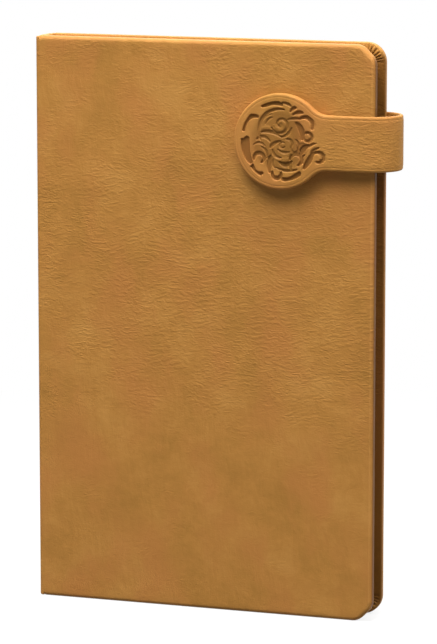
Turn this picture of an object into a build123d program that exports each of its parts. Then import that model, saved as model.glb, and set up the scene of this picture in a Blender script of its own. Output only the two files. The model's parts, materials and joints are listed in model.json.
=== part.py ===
from build123d import *
import math
import os

# A padded leather diary, standing on its tail edge, held shut by a strap with a magnetic medallion.
# Book coordinates, in millimetres: X from the spine's outer face to the fore-edge,
# Y through the thickness with the front cover on the minus side, Z from tail to head.

# Covers
COVER_WIDTH = 130.0
COVER_HEIGHT = 210.0
CORNER_RADIUS = 9.0
EDGE_ROUND = 1.5
INNER_EDGE_ROUND = 0.5
LEATHER = 0.6
PADDING = 0.6
BOARD = 1.7
TURN_IN = 12.0

# Pages
SQUARE = 3.0
ENDPAPER = 0.2
FLYLEAF = 0.15
FLYLEAF_SETBACK = 1.0
SECTION = 0.9
SECTION_COUNT = 8

# Spine
SPINE_BOARD = 1.2
SPINE_LINING = 0.15
SPINE_GAUZE = 0.25
LINING_MARGIN = 5.0
HEADBAND_WIDTH = 1.6
HEADBAND_HEIGHT = 1.1
HEADBAND_FLAT = 0.2

# Strap
STRAP_WIDTH = 19.9
STRAP_LEATHER = 0.8
STRAP_LINING = 0.8
LOOP_REACH = 8.2
SLIT_FROM_FORE_EDGE = 18.0
ANCHOR_LENGTH = 14.0

# Medallion tab and clasp
MEDALLION_DIAMETER = 34.6
MEDALLION_FROM_FORE_EDGE = 34.5
MEDALLION_FROM_HEAD = 35.2
NECK_RADIUS = 8.0
TAB_CORE = 1.6
TAB_EDGE_BEVEL = 0.4
MAGNET_DIAMETER = 16.0
MAGNET_THICKNESS = 1.2
PLATE_DIAMETER = 20.0
PLATE_THICKNESS = 0.8

# Pressed ornament: a lobed field with a raised leaf in each lobe and scrolls in the middle.
# Scroll sizes and places are shares of the ring that the lobes stand on, turns are shares of a scroll.
ORNAMENT_BORDER = 2.8
PRESS_DEPTH = 0.35
RIB_WIDTH = 0.8
LOBE_RADIUS = 4.0
LOBE_COUNT = 7
LEAF_RADIUS = 2.2
LEAF_WIDTH = 1.2
SCROLL_COUNT = 3
SCROLL_SIZE = 0.29
SCROLL_PLACE = 0.42
SCROLL_TURNS = (1.0, 0.7, 0.45)

# Clearances
GLUE = 0.05
LEAF_GAP = 0.1
HINGE_CLEAR = 0.3
STRAP_GAP = 0.3
KNUCKLE_GAP = 0.1

# Through the thickness
cover_thickness = 2 * LEATHER + PADDING + BOARD + 3 * GLUE
leaf_stack = GLUE + ENDPAPER + LEAF_GAP + FLYLEAF + LEAF_GAP
block_thickness = SECTION_COUNT * SECTION + (SECTION_COUNT - 1) * LEAF_GAP
book_thickness = 2 * (cover_thickness + leaf_stack) + block_thickness
front_y = -book_thickness / 2
inner_y = front_y + cover_thickness
padding_y = front_y + LEATHER + GLUE
board_y = padding_y + PADDING + GLUE
pastedown_y = inner_y + GLUE
flyleaf_y = pastedown_y + ENDPAPER + LEAF_GAP
block_y = flyleaf_y + FLYLEAF + LEAF_GAP

# From the spine inwards
spine_board_x = LEATHER + GLUE
spine_turn_x = spine_board_x + SPINE_BOARD + GLUE
lining_x = spine_turn_x + LEATHER + LEAF_GAP
gauze_x = lining_x + SPINE_LINING + GLUE
block_x = gauze_x + SPINE_GAUZE + GLUE
fold_x = block_x + SECTION / 2
first_fold_y = block_y + SECTION / 2
page_head_z = COVER_HEIGHT - SQUARE

# The front cover turns about the centre of its rounded spine corner
hinge_x = EDGE_ROUND
hinge_y = front_y + EDGE_ROUND
front_cover_x = hinge_x + HINGE_CLEAR
back_cover_x = EDGE_ROUND + GLUE
spine_front_y = hinge_y + EDGE_ROUND + HINGE_CLEAR
spine_board_front_y = inner_y + HINGE_CLEAR
spine_board_back_y = -inner_y - GLUE

# The strap's middle surface, between leather and lining, and its round bend
tab_back_y = front_y - STRAP_GAP
strap_front_y = tab_back_y - STRAP_LINING - TAB_CORE - 2 * GLUE
strap_rear_y = -front_y + STRAP_GAP + STRAP_LINING
bend_radius = (strap_rear_y - strap_front_y) / 2
bend_x = COVER_WIDTH + LOOP_REACH - bend_radius - STRAP_LEATHER
bend_y = (strap_rear_y + strap_front_y) / 2
knuckle = max(STRAP_LEATHER, STRAP_LINING)
knuckle_cut = knuckle + KNUCKLE_GAP
strap_end_x = bend_x - knuckle_cut
slit_x = COVER_WIDTH - SLIT_FROM_FORE_EDGE
strap_tail_z = COVER_HEIGHT - MEDALLION_FROM_HEAD - STRAP_WIDTH / 2
strap_head_z = strap_tail_z + STRAP_WIDTH
medallion_x = COVER_WIDTH - MEDALLION_FROM_FORE_EDGE
medallion_z = COVER_HEIGHT - MEDALLION_FROM_HEAD
tab_core_radius = MEDALLION_DIAMETER / 2 - STRAP_LINING - GLUE
lobe_ring = MEDALLION_DIAMETER / 2 - ORNAMENT_BORDER - LOBE_RADIUS
scroll_radius = SCROLL_SIZE * lobe_ring
scroll_ring = SCROLL_PLACE * lobe_ring

# The part's frame: centred under the closed diary
frame = Pos(-(COVER_WIDTH + LOOP_REACH) / 2, -bend_y, 0)


def rect(u_low, u_high, v_low, v_high):
    """A flat rectangle given by its limits."""
    return Pos((u_low + u_high) / 2, (v_low + v_high) / 2) * Rectangle(u_high - u_low, v_high - v_low)


def disc(x, z, diameter):
    """A flat disc in the plane of the covers."""
    return Pos(x, z) * Circle(diameter / 2)


def slab(outline, y_low, y_high):
    """A plate whose outline lies in the plane of the covers."""
    return extrude(Plane.XZ.offset(-y_high) * outline, amount=y_high - y_low)


def prism(outline, z_low, z_high):
    """A bar whose section lies across the spine."""
    return extrude(Plane.XY.offset(z_low) * outline, amount=z_high - z_low)


def to_back(shape):
    """The same piece on the back cover's side."""
    return mirror(shape, about=Plane.XZ)


def leaf_outline(x_from, inset):
    """A cover or page: square at the spine, with rounded corners at the fore-edge."""
    sheet = rect(x_from, COVER_WIDTH - inset, inset, COVER_HEIGHT - inset)
    corners = sheet.vertices().sort_by(Axis.X)[-2:]
    return fillet(corners, max(CORNER_RADIUS - inset, LEATHER))


def free_rim(panel, x_from, side):
    """The head, tail and fore-edge of a panel's outer (0) or inner (-1) face."""
    rim = panel.faces().sort_by(Axis.Y)[side].edges()
    return rim.filter_by(lambda edge: edge.center().X > x_from + LEATHER)


def rounded_panel(x_from):
    """The whole cover with its free edges rounded on both faces."""
    panel = slab(leaf_outline(x_from, 0), front_y, inner_y)
    panel = fillet(free_rim(panel, x_from, 0), EDGE_ROUND)
    return fillet(free_rim(panel, x_from, -1), INNER_EDGE_ROUND)


def bevelled_panel(x_from, inset, y_low, y_high):
    """What lies inside the leather: its outer edges have a bevel that keeps the leather's thickness."""
    panel = slab(leaf_outline(x_from, inset), y_low, y_high)
    bevel = (2 - math.sqrt(2)) * (EDGE_ROUND - inset)
    return chamfer(free_rim(panel, x_from, 0), bevel)


def cover_leather(x_from):
    """Leather wrapped over a cover and turned in round head, tail and fore-edge."""
    skin = rounded_panel(x_from)
    inside = bevelled_panel(x_from - LEATHER, LEATHER, front_y + LEATHER, inner_y - LEATHER)
    window = rect(x_from - LEATHER, COVER_WIDTH - TURN_IN, TURN_IN, COVER_HEIGHT - TURN_IN)
    return skin - inside - slab(window, front_y + LEATHER, inner_y + LEATHER)


def cover_core(x_from, y_low, y_high):
    """One layer of what the leather is wrapped over."""
    core = bevelled_panel(x_from + GLUE, LEATHER + GLUE, padding_y, board_y + BOARD)
    return core & slab(rect(x_from, COVER_WIDTH, 0, COVER_HEIGHT), y_low, y_high)


def cover_padding(x_from):
    """Foam under the leather."""
    return cover_core(x_from, padding_y, padding_y + PADDING)


def cover_board(x_from):
    """Stiff board under the foam."""
    return cover_core(x_from, board_y, board_y + BOARD)


def page(x_from, y_low, thickness):
    """A flat sheet with the outline of the pages."""
    return slab(leaf_outline(x_from, SQUARE), y_low, y_low + thickness)


def flyleaf():
    """The loose half of the front endpaper, which starts a little clear of the fold."""
    return page(fold_x + FLYLEAF_SETBACK, flyleaf_y, FLYLEAF)


def section(index):
    """One folded section: flat leaves with a round fold at the spine."""
    y_low = block_y + index * (SECTION + LEAF_GAP)
    fold = prism(Pos(fold_x, y_low + SECTION / 2) * Circle(SECTION / 2), SQUARE, page_head_z)
    return page(fold_x, y_low, SECTION) + fold


def corner_ring(x, y, x_low, x_high, y_low, y_high):
    """A quarter of the leather's bend round a spine corner."""
    ring = Circle(EDGE_ROUND) - Circle(EDGE_ROUND - LEATHER)
    return (Pos(x, y) * ring) & rect(x_low, x_high, y_low, y_high)


def front_joint():
    """The strip of leather that bends when the front cover opens."""
    corner = corner_ring(hinge_x, hinge_y, 0, hinge_x, front_y, hinge_y)
    strip = rect(0, LEATHER, hinge_y, spine_front_y - GLUE)
    return prism(corner + strip, HINGE_CLEAR, COVER_HEIGHT - HINGE_CLEAR)


def spine_leather():
    """Leather over the spine and round the back corner, turned in at head and tail."""
    strip = rect(0, LEATHER, spine_front_y, -hinge_y)
    corner = corner_ring(EDGE_ROUND, -hinge_y, 0, EDGE_ROUND, -hinge_y, -front_y)
    wrap = rect(0, spine_turn_x + LEATHER, spine_board_front_y, spine_board_back_y)
    board_space = prism(rect(LEATHER, spine_turn_x, front_y, -front_y), LEATHER, COVER_HEIGHT - LEATHER)
    open_space = prism(rect(LEATHER, block_x, front_y, -front_y), TURN_IN, COVER_HEIGHT - TURN_IN)
    turned_in = prism(wrap, 0, COVER_HEIGHT) - board_space - open_space
    return prism(strip + corner, 0, COVER_HEIGHT) + turned_in


def spine_board():
    """Stiff strip under the spine's leather."""
    x_high = spine_board_x + SPINE_BOARD
    strip = rect(spine_board_x, x_high, spine_board_front_y, spine_board_back_y)
    return prism(strip, LEATHER + GLUE, COVER_HEIGHT - LEATHER - GLUE)


def spine_layer(x_low, thickness):
    """Gauze or paper glued over the folds."""
    outline = rect(x_low, x_low + thickness, block_y, -block_y)
    return prism(outline, SQUARE + LINING_MARGIN, page_head_z - LINING_MARGIN)


def headband():
    """Rounded woven band over the folds at the head."""
    foot_z = page_head_z + GLUE
    band = rect(block_x, block_x + HEADBAND_WIDTH, foot_z, foot_z + HEADBAND_HEIGHT)
    band = fillet(band.vertices().sort_by(Axis.Y)[-2:], (HEADBAND_WIDTH - HEADBAND_FLAT) / 2)
    return slab(band, block_y, -block_y)


def tailband():
    """The same band at the tail."""
    return mirror(headband(), about=Plane.XY.offset(COVER_HEIGHT / 2))


def strap_bar(outline):
    """A stretch of strap, as wide as the strap."""
    return prism(outline, strap_tail_z, strap_head_z)


def anchor_outline(margin):
    """The strap's hidden end between the leather and the board of the back cover."""
    x_low = slit_x - STRAP_LEATHER - ANCHOR_LENGTH
    y_high = -padding_y
    return rect(x_low - margin, slit_x + margin, y_high - PADDING, y_high)


def tail_leather():
    """Strap leather: glued in behind the slit, out through it and on to the fore-edge."""
    y_high = strap_rear_y + STRAP_LEATHER
    run = rect(slit_x, bend_x, strap_rear_y, y_high)
    drop = rect(slit_x - STRAP_LEATHER, slit_x, -padding_y - PADDING, strap_rear_y)
    turn = Pos(slit_x, strap_rear_y) * Circle(STRAP_LEATHER)
    turn = turn & rect(slit_x - STRAP_LEATHER, slit_x, strap_rear_y, y_high)
    end = Pos(bend_x, strap_rear_y) * Circle(STRAP_LEATHER)
    end = end & rect(bend_x, bend_x + STRAP_LEATHER, strap_rear_y, y_high)
    return strap_bar(run + turn + drop + anchor_outline(0) + end)


def tail_lining():
    """Lining under the strap's visible tail."""
    y_low = strap_rear_y - STRAP_LINING
    y_high = strap_rear_y - GLUE
    end = Pos(bend_x, strap_rear_y) * Circle(STRAP_LINING)
    end = end & rect(bend_x, bend_x + STRAP_LINING, y_low, y_high)
    return strap_bar(rect(slit_x + GLUE, bend_x, y_low, y_high) + end)


def bend_layer(angle_from, angle_to, inner, outer, thickness):
    """A quarter of the strap's round bend, in one layer, ending in a round knuckle on its fold line."""
    cut_angle = math.degrees(math.asin(knuckle_cut / bend_radius))
    reach = 2 * outer
    rays = [math.radians(angle) for angle in (angle_from - cut_angle, angle_to)]
    tips = [(reach * math.cos(ray), reach * math.sin(ray)) for ray in rays]
    wedge = make_face(Polyline((0, 0), *tips, close=True))
    ring = Circle(outer) - Circle(inner)
    fold = Pos(bend_radius * math.cos(rays[1]), bend_radius * math.sin(rays[1]))
    quarter = (ring & wedge) + (ring & (fold * Circle(thickness)))
    return strap_bar(Pos(bend_x, bend_y) * quarter)


def bend_leather(angle_from, angle_to):
    """Outer leather of a bend."""
    return bend_layer(angle_from, angle_to, bend_radius, bend_radius + STRAP_LEATHER, STRAP_LEATHER)


def bend_lining(angle_from, angle_to):
    """Inner lining of a bend."""
    return bend_layer(angle_from, angle_to, bend_radius - STRAP_LINING, bend_radius - GLUE, STRAP_LINING)


def tab_outline():
    """The medallion and its strap, with hollow curves where they meet."""
    half_width = STRAP_WIDTH / 2
    strap = rect(medallion_x, strap_end_x, medallion_z - half_width, medallion_z + half_width)
    outline = disc(medallion_x, medallion_z, MEDALLION_DIAMETER) + strap
    neck_x = medallion_x + math.sqrt((MEDALLION_DIAMETER / 2) ** 2 - half_width**2)
    necks = outline.vertices().filter_by(lambda corner: abs(corner.X - neck_x) < GLUE)
    return fillet(necks, NECK_RADIUS)


def leaf():
    """A raised crescent whose back points outwards."""
    return Circle(LEAF_RADIUS) - Pos(-LEAF_WIDTH, 0) * Circle(LEAF_RADIUS)


def scroll():
    """A raised spiral of half circles, each smaller than the one before."""
    start_x = scroll_radius
    turns = []
    for index, share in enumerate(SCROLL_TURNS):
        step = share * scroll_radius if index % 2 == 0 else -share * scroll_radius
        line = CenterArc((0, 0), abs(step), 180 * (index % 2), 180)
        turns.append(Pos(start_x - step, 0) * SlotArc(line, RIB_WIDTH))
        start_x -= 2 * step
    return Sketch() + turns


def ornament():
    """What is pressed into the medallion's face, round its centre."""
    lobes = PolarLocations(lobe_ring, LOBE_COUNT)
    field = Circle(lobe_ring) + lobes * Circle(LOBE_RADIUS)
    return field - lobes * leaf() - PolarLocations(scroll_ring, SCROLL_COUNT) * scroll()


def tab_face():
    """Face leather of strap and medallion in one piece, with a bevelled edge and the ornament."""
    y_low = strap_front_y - STRAP_LEATHER
    face = slab(tab_outline(), y_low, strap_front_y)
    rim = face.faces().sort_by(Axis.Y)[0].edges()
    cut_edge = rim.filter_by(lambda edge: edge.center().X < strap_end_x - GLUE)
    pressed = Pos(medallion_x, medallion_z) * ornament()
    return chamfer(cut_edge, TAB_EDGE_BEVEL) - slab(pressed, y_low, y_low + PRESS_DEPTH)


def tab_lining():
    """Lining of the strap, shaped as a cup round the medallion's core."""
    strap = slab(tab_outline(), strap_front_y + GLUE, strap_front_y + STRAP_LINING)
    cup = slab(disc(medallion_x, medallion_z, MEDALLION_DIAMETER), strap_front_y + GLUE, tab_back_y)
    space = disc(medallion_x, medallion_z, 2 * (tab_core_radius + GLUE))
    return strap + cup - slab(space, strap_front_y, tab_back_y - STRAP_LINING)


def tab_core():
    """Stiff disc inside the medallion, with a pocket for the magnet."""
    y_low = strap_front_y + GLUE
    core = slab(disc(medallion_x, medallion_z, 2 * tab_core_radius), y_low, y_low + TAB_CORE)
    pocket = disc(medallion_x, medallion_z, MAGNET_DIAMETER + 2 * GLUE)
    return core - slab(pocket, y_low + TAB_CORE - MAGNET_THICKNESS - GLUE, tab_back_y)


def tab_magnet():
    """Flat magnet behind the medallion."""
    y_high = strap_front_y + GLUE + TAB_CORE
    return slab(disc(medallion_x, medallion_z, MAGNET_DIAMETER), y_high - MAGNET_THICKNESS, y_high)


def front_board():
    """Front board with a seat for the clasp plate."""
    seat = disc(medallion_x, medallion_z, PLATE_DIAMETER + 2 * GLUE)
    return cover_board(front_cover_x) - slab(seat, front_y, board_y + PLATE_THICKNESS + GLUE)


def clasp_plate():
    """Steel disc that the magnet holds on to."""
    return slab(disc(medallion_x, medallion_z, PLATE_DIAMETER), board_y, board_y + PLATE_THICKNESS)


def pastedown(x_from):
    """Endpaper glued over the turn-ins inside a cover."""
    return slab(leaf_outline(x_from + SQUARE, SQUARE), pastedown_y, pastedown_y + ENDPAPER)


def back_leather():
    """Back cover leather with the slit that the strap comes out of."""
    slit = rect(slit_x - STRAP_LEATHER - GLUE, slit_x + GLUE, -front_y - 2 * LEATHER, -front_y + LEATHER)
    return to_back(cover_leather(back_cover_x)) - prism(slit, strap_tail_z - GLUE, strap_head_z + GLUE)


def back_padding():
    """Back foam, cut out for the strap's hidden end."""
    pocket = prism(anchor_outline(GLUE), strap_tail_z - GLUE, strap_head_z + GLUE)
    return to_back(cover_padding(back_cover_x)) - pocket


def pieces():
    """Every piece of the diary by name."""
    parts = {
        "front_cover_leather": cover_leather(front_cover_x),
        "front_cover_padding": cover_padding(front_cover_x),
        "front_board": front_board(),
        "front_clasp_plate": clasp_plate(),
        "front_pastedown": pastedown(front_cover_x),
        "front_joint_leather": front_joint(),
        "spine_leather": spine_leather(),
        "spine_board": spine_board(),
        "spine_lining": spine_layer(lining_x, SPINE_LINING),
        "spine_gauze": spine_layer(gauze_x, SPINE_GAUZE),
        "headband": headband(),
        "tailband": tailband(),
        "back_cover_leather": back_leather(),
        "back_cover_padding": back_padding(),
        "back_board": to_back(cover_board(back_cover_x)),
        "back_pastedown": to_back(pastedown(back_cover_x)),
        "back_flyleaf": to_back(flyleaf()),
        "front_flyleaf": flyleaf(),
        "strap_tail_leather": tail_leather(),
        "strap_tail_lining": tail_lining(),
        "rear_bend_leather": bend_leather(90, 0),
        "rear_bend_lining": bend_lining(90, 0),
        "front_bend_leather": bend_leather(0, -90),
        "front_bend_lining": bend_lining(0, -90),
        "tab_face_leather": tab_face(),
        "tab_lining": tab_lining(),
        "tab_core": tab_core(),
        "tab_magnet": tab_magnet(),
    }
    for index in range(SECTION_COUNT):
        parts[f"section_{index + 1:02d}"] = section(index)
    return parts


def joint_axes():
    """A point on each upright axis that something turns about."""
    return {
        "front_cover_hinge": (hinge_x, hinge_y),
        "leaf_fold": (fold_x, first_fold_y),
        "strap_rear_fold": (bend_x, strap_rear_y),
        "strap_middle_fold": (bend_x + bend_radius, bend_y),
        "strap_front_fold": (bend_x, strap_front_y),
    }


os.makedirs("parts", exist_ok=True)
for name, shape in pieces().items():
    export_step(frame * shape, f"parts/{name}.step")
for name, (x, y) in joint_axes().items():
    place = frame * Pos(x, y, 0)
    print(f"axis {name} x {place.position.X:.4f} y {place.position.Y:.4f}")
print(f"book thickness {book_thickness:.3f}, cover {cover_thickness:.3f}, bend radius {bend_radius:.3f}")
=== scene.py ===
"""A padded leather diary, standing, held shut by a strap with a round magnetic medallion.

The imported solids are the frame. This script lays leather, paper and trim over them and sets up a
plain studio. Lengths are in millimetres until a mesh is made, and MM turns them into metres.
"""

import json
import logging
import math
from dataclasses import dataclass
from enum import Enum
from typing import Any, ClassVar, Optional, Sequence

import bmesh
import bpy
import numpy as np
from mathutils import Matrix, Vector


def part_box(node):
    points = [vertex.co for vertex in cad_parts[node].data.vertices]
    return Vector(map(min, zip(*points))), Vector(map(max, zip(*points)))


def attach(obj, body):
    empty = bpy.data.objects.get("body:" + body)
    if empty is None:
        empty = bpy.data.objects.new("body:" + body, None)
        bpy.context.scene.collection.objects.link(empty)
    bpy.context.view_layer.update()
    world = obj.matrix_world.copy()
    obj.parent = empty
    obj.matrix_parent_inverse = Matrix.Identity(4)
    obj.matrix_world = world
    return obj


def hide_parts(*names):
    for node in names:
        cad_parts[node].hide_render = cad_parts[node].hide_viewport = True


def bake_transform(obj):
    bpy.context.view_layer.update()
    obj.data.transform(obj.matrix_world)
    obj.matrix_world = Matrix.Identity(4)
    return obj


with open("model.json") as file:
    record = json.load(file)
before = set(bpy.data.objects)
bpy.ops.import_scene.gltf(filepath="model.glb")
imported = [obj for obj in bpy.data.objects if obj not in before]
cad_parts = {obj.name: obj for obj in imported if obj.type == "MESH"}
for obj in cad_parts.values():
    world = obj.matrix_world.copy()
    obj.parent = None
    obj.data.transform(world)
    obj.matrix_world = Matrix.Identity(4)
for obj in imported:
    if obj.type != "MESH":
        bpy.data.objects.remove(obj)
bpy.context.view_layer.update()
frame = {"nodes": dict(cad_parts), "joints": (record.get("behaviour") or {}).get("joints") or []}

MM = 0.001
WELD = 0.004
LOG = logging.getLogger("diary")
Colour = tuple[float, float, float, float]


class Body(str, Enum):
    """The moving bodies of the diary."""

    CASE = "back_case"
    COVER = "front_cover"
    SECTION = "first_section"
    FLYLEAF = "front_flyleaf"
    REAR_BEND = "strap_rear_bend"
    FRONT_BEND = "strap_front_bend"
    TAB = "strap_tab"


class Side(Enum):
    """Which cover a piece belongs to; the value is the sign of Y on its outer face."""

    FRONT = -1
    BACK = 1


def smooth(value: Any, low: float, high: float) -> Any:
    """A soft step from 0 at low to 1 at high."""
    share = np.clip((np.asarray(value, float) - low) / (high - low), 0.0, 1.0)
    return share * share * (3 - 2 * share)


def srgb(red: float, green: float, blue: float) -> Colour:
    """A colour as a screen shows it, 0 to 255, as linear values with full alpha."""
    parts = [value / 255 for value in (red, green, blue)]
    linear = [v / 12.92 if v <= 0.04045 else ((v + 0.055) / 1.055) ** 2.4 for v in parts]
    return (*linear, 1.0)


def span(node: str) -> tuple[np.ndarray, np.ndarray]:
    """A CAD node's lowest and highest corners, in millimetres."""
    low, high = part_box(node)
    return np.array(low) / MM, np.array(high) / MM


def joint_point(name: str) -> np.ndarray:
    """A point on a joint's axis, in millimetres."""
    place = next(joint["pos_m"] for joint in frame["joints"] if joint["name"] == name)
    return np.array(place) / MM


def ripple(u: np.ndarray, v: np.ndarray, length: float, count: int, seed: int) -> np.ndarray:
    """A soft irregular swell made of plane waves.

    Args:
        u, v: Places on the surface.
        length: Typical distance between crests.
        count: Number of waves.
        seed: Seed of the waves' directions and phases.

    Returns:
        Heights between about -1 and 1.
    """
    draw = np.random.default_rng(seed)
    total = np.zeros(np.broadcast(u, v).shape)
    for _ in range(count):
        turn, phase = draw.uniform(0, 2 * math.pi, 2)
        number = 2 * math.pi / (length * draw.uniform(0.6, 1.7))
        total += np.sin(number * (u * math.cos(turn) + v * math.sin(turn)) + phase)
    return total / math.sqrt(count) / 1.4


class MeshDraft:
    """Collects grids of points, and where each lies in the leather's grain, into one mesh."""

    def __init__(self, grain_layer: float = 0.0, creased: float = 0.6) -> None:
        """Starts an empty mesh.

        Args:
            grain_layer: Where its grain pattern is taken.
            creased: How creased its leather is, from 0 to 1, where a grid doesn't say.
        """
        self.points: list[np.ndarray] = []
        self.grain: list[np.ndarray] = []
        self.press_crease_and_painted_light: list[np.ndarray] = []
        self.faces: list[np.ndarray] = []
        self.count = 0
        self.grain_layer = grain_layer
        self.creased = creased

    def grid(self, points: np.ndarray, grain: Optional[np.ndarray] = None,
             skip: Optional[np.ndarray] = None, press: Any = 0.0,
             creased: Optional[np.ndarray] = None, shade: Any = 0.0) -> None:
        """Adds a grid of quads.

        Args:
            points: Places, as rows by columns by three.
            grain: Flat grain coordinates, as rows by columns by two; X and Z when left out.
            skip: True for each quad to leave open.
            press: How hard the surface is pressed in, from 0 to 1.
            creased: How creased it is, from 0 to 1; the draft's own value when left out.
            shade: Painted shade up to 1 on the fore-edge's side, the turn-in and the pleats; -1 for a painted
                highlight; 0 elsewhere.
        """
        rows, columns = points.shape[:2]
        index = self.count + np.arange(rows * columns).reshape(rows, columns)
        quads = np.stack([index[:-1, :-1], index[:-1, 1:], index[1:, 1:], index[1:, :-1]], axis=-1)
        quads = quads.reshape(-1, 4) if skip is None else quads[~skip]
        flat = points[..., (0, 2)] if grain is None else grain
        layer = np.full((rows * columns, 1), self.grain_layer)
        self.points.append(points.reshape(-1, 3))
        self.grain.append(np.hstack([flat.reshape(-1, 2), layer]))
        # Per point: how hard it is pressed, how creased it is, and painted shade (positive) or a painted highlight
        # (negative).
        press_crease_and_painted_light = np.zeros((rows, columns, 3))
        press_crease_and_painted_light[..., 0] = press
        press_crease_and_painted_light[..., 1] = self.creased if creased is None else creased
        press_crease_and_painted_light[..., 2] = shade
        self.press_crease_and_painted_light.append(press_crease_and_painted_light.reshape(-1, 3))
        self.faces.append(quads)
        self.count += rows * columns

    def slab(self, top: np.ndarray, bottom: np.ndarray, grain: Optional[np.ndarray] = None) -> None:
        """Adds a closed sheet between two grids of the same shape.

        Args:
            top: One face's grid of points.
            bottom: The other face's grid.
            grain: Flat grain coordinates of both faces.
        """
        self.grid(top, grain)
        self.grid(bottom, grain)
        for edge in (np.s_[0, :], np.s_[-1, :], np.s_[:, 0], np.s_[:, -1]):
            rim_grain = None if grain is None else np.stack([grain[edge], grain[edge]])
            self.grid(np.stack([top[edge], bottom[edge]]), rim_grain)

    def build(self, name: str, material: bpy.types.Material, crease: float = 50.0) -> bpy.types.Object:
        """Makes the object.

        Args:
            name: The piece's name.
            material: Its finish.
            crease: Edges that turn by more than this many degrees are shaded sharp.

        Returns:
            The new object, at the origin.
        """
        mesh = bpy.data.meshes.new(name)
        mesh.from_pydata((np.vstack(self.points) * MM).tolist(), [], np.vstack(self.faces).tolist())
        for key, values in (("grain", self.grain), ("press_crease_and_painted_light", self.press_crease_and_painted_light)):
            layer = mesh.attributes.new(key, "FLOAT_VECTOR", "POINT")
            layer.data.foreach_set("vector", np.vstack(values).astype(np.float32).ravel())
        work = bmesh.new()
        work.from_mesh(mesh)
        bmesh.ops.remove_doubles(work, verts=work.verts, dist=WELD * MM)
        bmesh.ops.dissolve_degenerate(work, edges=work.edges, dist=WELD * MM)
        bmesh.ops.recalc_face_normals(work, faces=work.faces)
        work.to_mesh(mesh)
        work.free()
        mesh.shade_smooth()
        mesh.set_sharp_from_angle(angle=math.radians(crease))
        mesh.materials.append(material)
        piece = bpy.data.objects.new(name, mesh)
        bpy.context.scene.collection.objects.link(piece)
        LOG.info("%s: %d faces", name, len(mesh.polygons))
        return piece


class Graph:
    """Short calls that add nodes to one finish."""

    def __init__(self, name: str, roughness: float, specular: float = 0.5) -> None:
        """Starts a material with a plain principled shader."""
        self.material = bpy.data.materials.new(name)
        self.material.use_nodes = True
        self.tree = self.material.node_tree
        self.shader = self.tree.nodes["Principled BSDF"]
        self.set(roughness=roughness, specular=specular)

    def set(self, **values: Any) -> None:
        """Sets or links the shader's sockets, by short names."""
        sockets = {"colour": "Base Color", "roughness": "Roughness", "specular": "Specular IOR Level",
                   "metal": "Metallic", "normal": "Normal", "sheen": "Sheen Weight",
                   "sheen_roughness": "Sheen Roughness", "sheen_tint": "Sheen Tint",
                   "coat": "Coat Weight", "coat_roughness": "Coat Roughness"}
        for key, value in values.items():
            self.put(self.shader.inputs[sockets[key]], value)

    def put(self, socket: bpy.types.NodeSocket, value: Any) -> None:
        """Links a socket to an output, or gives it a plain value."""
        if isinstance(value, bpy.types.NodeSocket):
            self.tree.links.new(value, socket)
        else:
            socket.default_value = value

    def node(self, kind: str, inputs: dict[Any, Any], **settings: Any) -> bpy.types.Node:
        """Adds a node.

        Args:
            kind: The node's type without the ShaderNode prefix.
            inputs: Values or outputs for its input sockets, by name or number.
            settings: The node's own properties.

        Returns:
            The new node.
        """
        made = self.tree.nodes.new("ShaderNode" + kind)
        for key, value in settings.items():
            setattr(made, key, value)
        for key, value in inputs.items():
            self.put(made.inputs[key], value)
        return made

    def grain(self) -> bpy.types.NodeSocket:
        """The flat grain coordinate, in millimetres."""
        return self.node("Attribute", {}, attribute_name="grain").outputs["Vector"]

    def stretched(self, vector: bpy.types.NodeSocket, scale: Sequence[float]) -> bpy.types.NodeSocket:
        """A coordinate scaled by its own amount in each direction."""
        return self.node("Mapping", {"Vector": vector, "Scale": scale}).outputs["Vector"]

    def noise(self, vector: bpy.types.NodeSocket, scale: float, detail: float = 2.0,
              roughness: float = 0.5, distortion: float = 0.0) -> bpy.types.Node:
        """Cloudy noise."""
        values = {"Vector": vector, "Scale": scale, "Detail": detail, "Roughness": roughness,
                  "Distortion": distortion}
        return self.node("TexNoise", values)

    def ramp(self, share: bpy.types.NodeSocket, stops: Sequence[tuple[float, Colour]]) -> bpy.types.NodeSocket:
        """Colours by a share between 0 and 1."""
        made = self.node("ValToRGB", {"Fac": share})
        points = made.color_ramp.elements
        while len(points) < len(stops):
            points.new(0.5)
        for point, (place, colour) in zip(points, stops):
            point.position = place
            point.color = colour
        return made.outputs["Color"]

    def between(self, value: bpy.types.NodeSocket, low: float, high: float, to_low: float = 0.0,
                to_high: float = 1.0) -> bpy.types.NodeSocket:
        """A soft step of a value between two levels."""
        values = {"Value": value, "From Min": low, "From Max": high, "To Min": to_low, "To Max": to_high}
        return self.node("MapRange", values, interpolation_type="SMOOTHSTEP").outputs["Result"]

    def math(self, operation: str, first: Any, second: Any = 0.0) -> bpy.types.NodeSocket:
        """One sum of two values."""
        return self.node("Math", {0: first, 1: second}, operation=operation).outputs["Value"]

    def mix(self, share: Any, first: Any, second: Any, blend: str = "MIX") -> bpy.types.NodeSocket:
        """Two colours mixed."""
        made = self.node("Mix", {}, data_type="RGBA", blend_type=blend)
        self.put(made.inputs[0], share)
        self.put(made.inputs[6], first)
        self.put(made.inputs[7], second)
        return made.outputs[2]

    def bump(self, height: bpy.types.NodeSocket, depth: float,
             below: Optional[bpy.types.NodeSocket] = None) -> bpy.types.NodeSocket:
        """A bumped normal; depth is in millimetres."""
        values = {"Height": height, "Distance": depth * MM, "Strength": 1.0}
        if below is not None:
            values["Normal"] = below
        return self.node("Bump", values).outputs["Normal"]


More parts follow.
